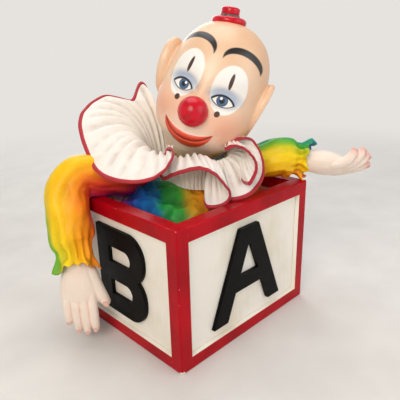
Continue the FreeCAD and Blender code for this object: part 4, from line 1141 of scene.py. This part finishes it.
def nailEnamel():
    # thin pink enamel brushed on the nails: glossier than the skin, a little streaky
    finish, tree, shader = startFinish("nailEnamel", Roughness=0.25)
    streak = addNode(tree, "TexNoise", {"Vector": objectPoint(tree), "Scale": 0.8, "Detail": 3.0})
    tone = addNode(tree, "ValToRGB", {"Fac": streak}, [(0.3, handForm["nail"]), (0.7, handForm["nailPale"])])
    connect(tree, tone, shader, "Base Color")
    return finish


def fromLine(points, line):
    # distance of each point from a finger's middle line
    best = np.full(len(points), np.inf)
    for start, end in zip(line[:-1], line[1:]):
        way = end - start
        along = np.clip((points - start) @ way / (way @ way), 0, 1)
        best = np.minimum(best, np.linalg.norm(points - start - along[:, None] * way, axis=1))
    return best


def tipFlushAndCreaseShade(hand, pose, tips, fingers):
    # colour brushed on the fingertips, and painted shade darkening the creases between the fingers
    flat = np.zeros(len(hand.data.vertices) * 3)
    hand.data.vertices.foreach_get("co", flat)
    points = flat.reshape(-1, 3) / mm
    close = np.min([np.linalg.norm(points - tip[0], axis=1) for tip in tips], axis=0)
    one, two = np.sort([fromLine(points, line) for line in fingers], axis=0)[:2]
    near = smoothStep(handForm["fingerRadius"] * 1.6, handForm["fingerRadius"], two)
    # painted shade: the skin darkens where two fingers meet
    crease = 0.5 * near * np.exp(-((two - one) / 0.8) ** 2)
    keepFold(hand, pose["flush"] * np.exp(-(close / 4.5) ** 2) + crease)


def handMatrix(side):
    wrist = joints[side + "_wrist"]
    heading = Vector(wrist["axis"])
    palm = Vector(hands[side]["palm"])
    palm = (palm - heading * palm.dot(heading)).normalized()
    turn = Matrix(((-palm).cross(heading), -palm, heading)).transposed().to_4x4()
    return Matrix.Translation(Vector(wrist["pos_m"])) @ turn


def makeNails(name, tips):
    wide, long, rise, curve, back, dip = handForm["nailForm"]
    nails = []
    for tip, way, r in tips:
        way = unit(way)
        out = unit(np.array([0.0, 1.0, 0.0]) - way * way[1])
        sideways = np.cross(out, way)
        rows = []
        for ring in np.linspace(0.02, 1.0, 6):
            row = []
            for a in np.linspace(0, 2 * math.pi, 20, endpoint=False):
                u, v = ring * math.cos(a) * r * wide, ring * math.sin(a) * r * long
                arch = r * rise * math.sqrt(max(0.0, 1 - (u / (r * curve)) ** 2))
                height = arch + handForm["nailProud"] - dip * max(0.0, v) / r
                row.append(tip - way * (r * back) + sideways * u + way * v + out * height)
            rows.append(row)
        nails.append(gridPiece("nail", np.array(rows)))
    return joinPieces(name, nails)


def makeHand(side, skinFinish, nailFinish):
    pose, form = hands[side], handForm
    thumb, half = pose["thumb"], form["palmWidth"] / 2
    palm = np.array(form["palm"])
    palmLine = [(0, 0.25 * max(share - 0.6, 0.0), share * form["palmLength"]) for share in palm[:, 0]]
    swell = np.interp(palm[:, 0], (0, 0.3, 0.8), (1, pose["full"], pose["deep"]))
    parts = [tubePiece("palm", palmLine, 1.0, np.column_stack([palm[:, 1], palm[:, 2] * swell]))]
    tips, fingers = [], []
    for (across, fan, girth), curl, length in zip(form["fingers"], pose["curls"], pose["lengths"]):
        base = swung(pose, thumb * across * half * 0.98, form["palmLength"] * 0.86)
        r = form["fingerRadius"] * girth * pose["full"]
        line = fingerLine(base, thumb * fan * pose["spread"] + pose["turn"], pose["knuckle"], curl, length)
        fingers.append(np.array(line[1:]))
        parts.append(tubePiece("finger", line, r, form["fingerTaper"]))
        tips.append((line[-1], line[-1] - line[-2], r))
    across, deep, along = form["thumbPlace"]
    base = (thumb * half * across, deep, form["palmLength"] * along)
    line = fingerLine(base, thumb * form["thumbTilt"], 0.0, pose["curls"][0] * 0.6, form["thumbLength"])
    parts.append(tubePiece("thumb", line, form["thumbRadius"], form["thumbTaper"]))
    tips.append((line[-1], line[-1] - line[-2], form["thumbRadius"]))
    hand = fuse("bisqueHand" + side.capitalize(), parts, form["voxel"])
    tipFlushAndCreaseShade(hand, pose, tips, fingers)
    nails = makeNails("nails" + side.capitalize(), tips)
    hand.matrix_world = nails.matrix_world = handMatrix(side)
    dress(hand, skinFinish)
    dress(nails, nailFinish)
    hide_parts(side + "_hand")
    for piece in (hand, nails):
        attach(piece, side + "_hand")


skinFinish, nailFinish = bisqueSkin(), nailEnamel()
makeHand("right", skinFinish, nailFinish)
makeHand("left", skinFinish, nailFinish)
print("hands fired")
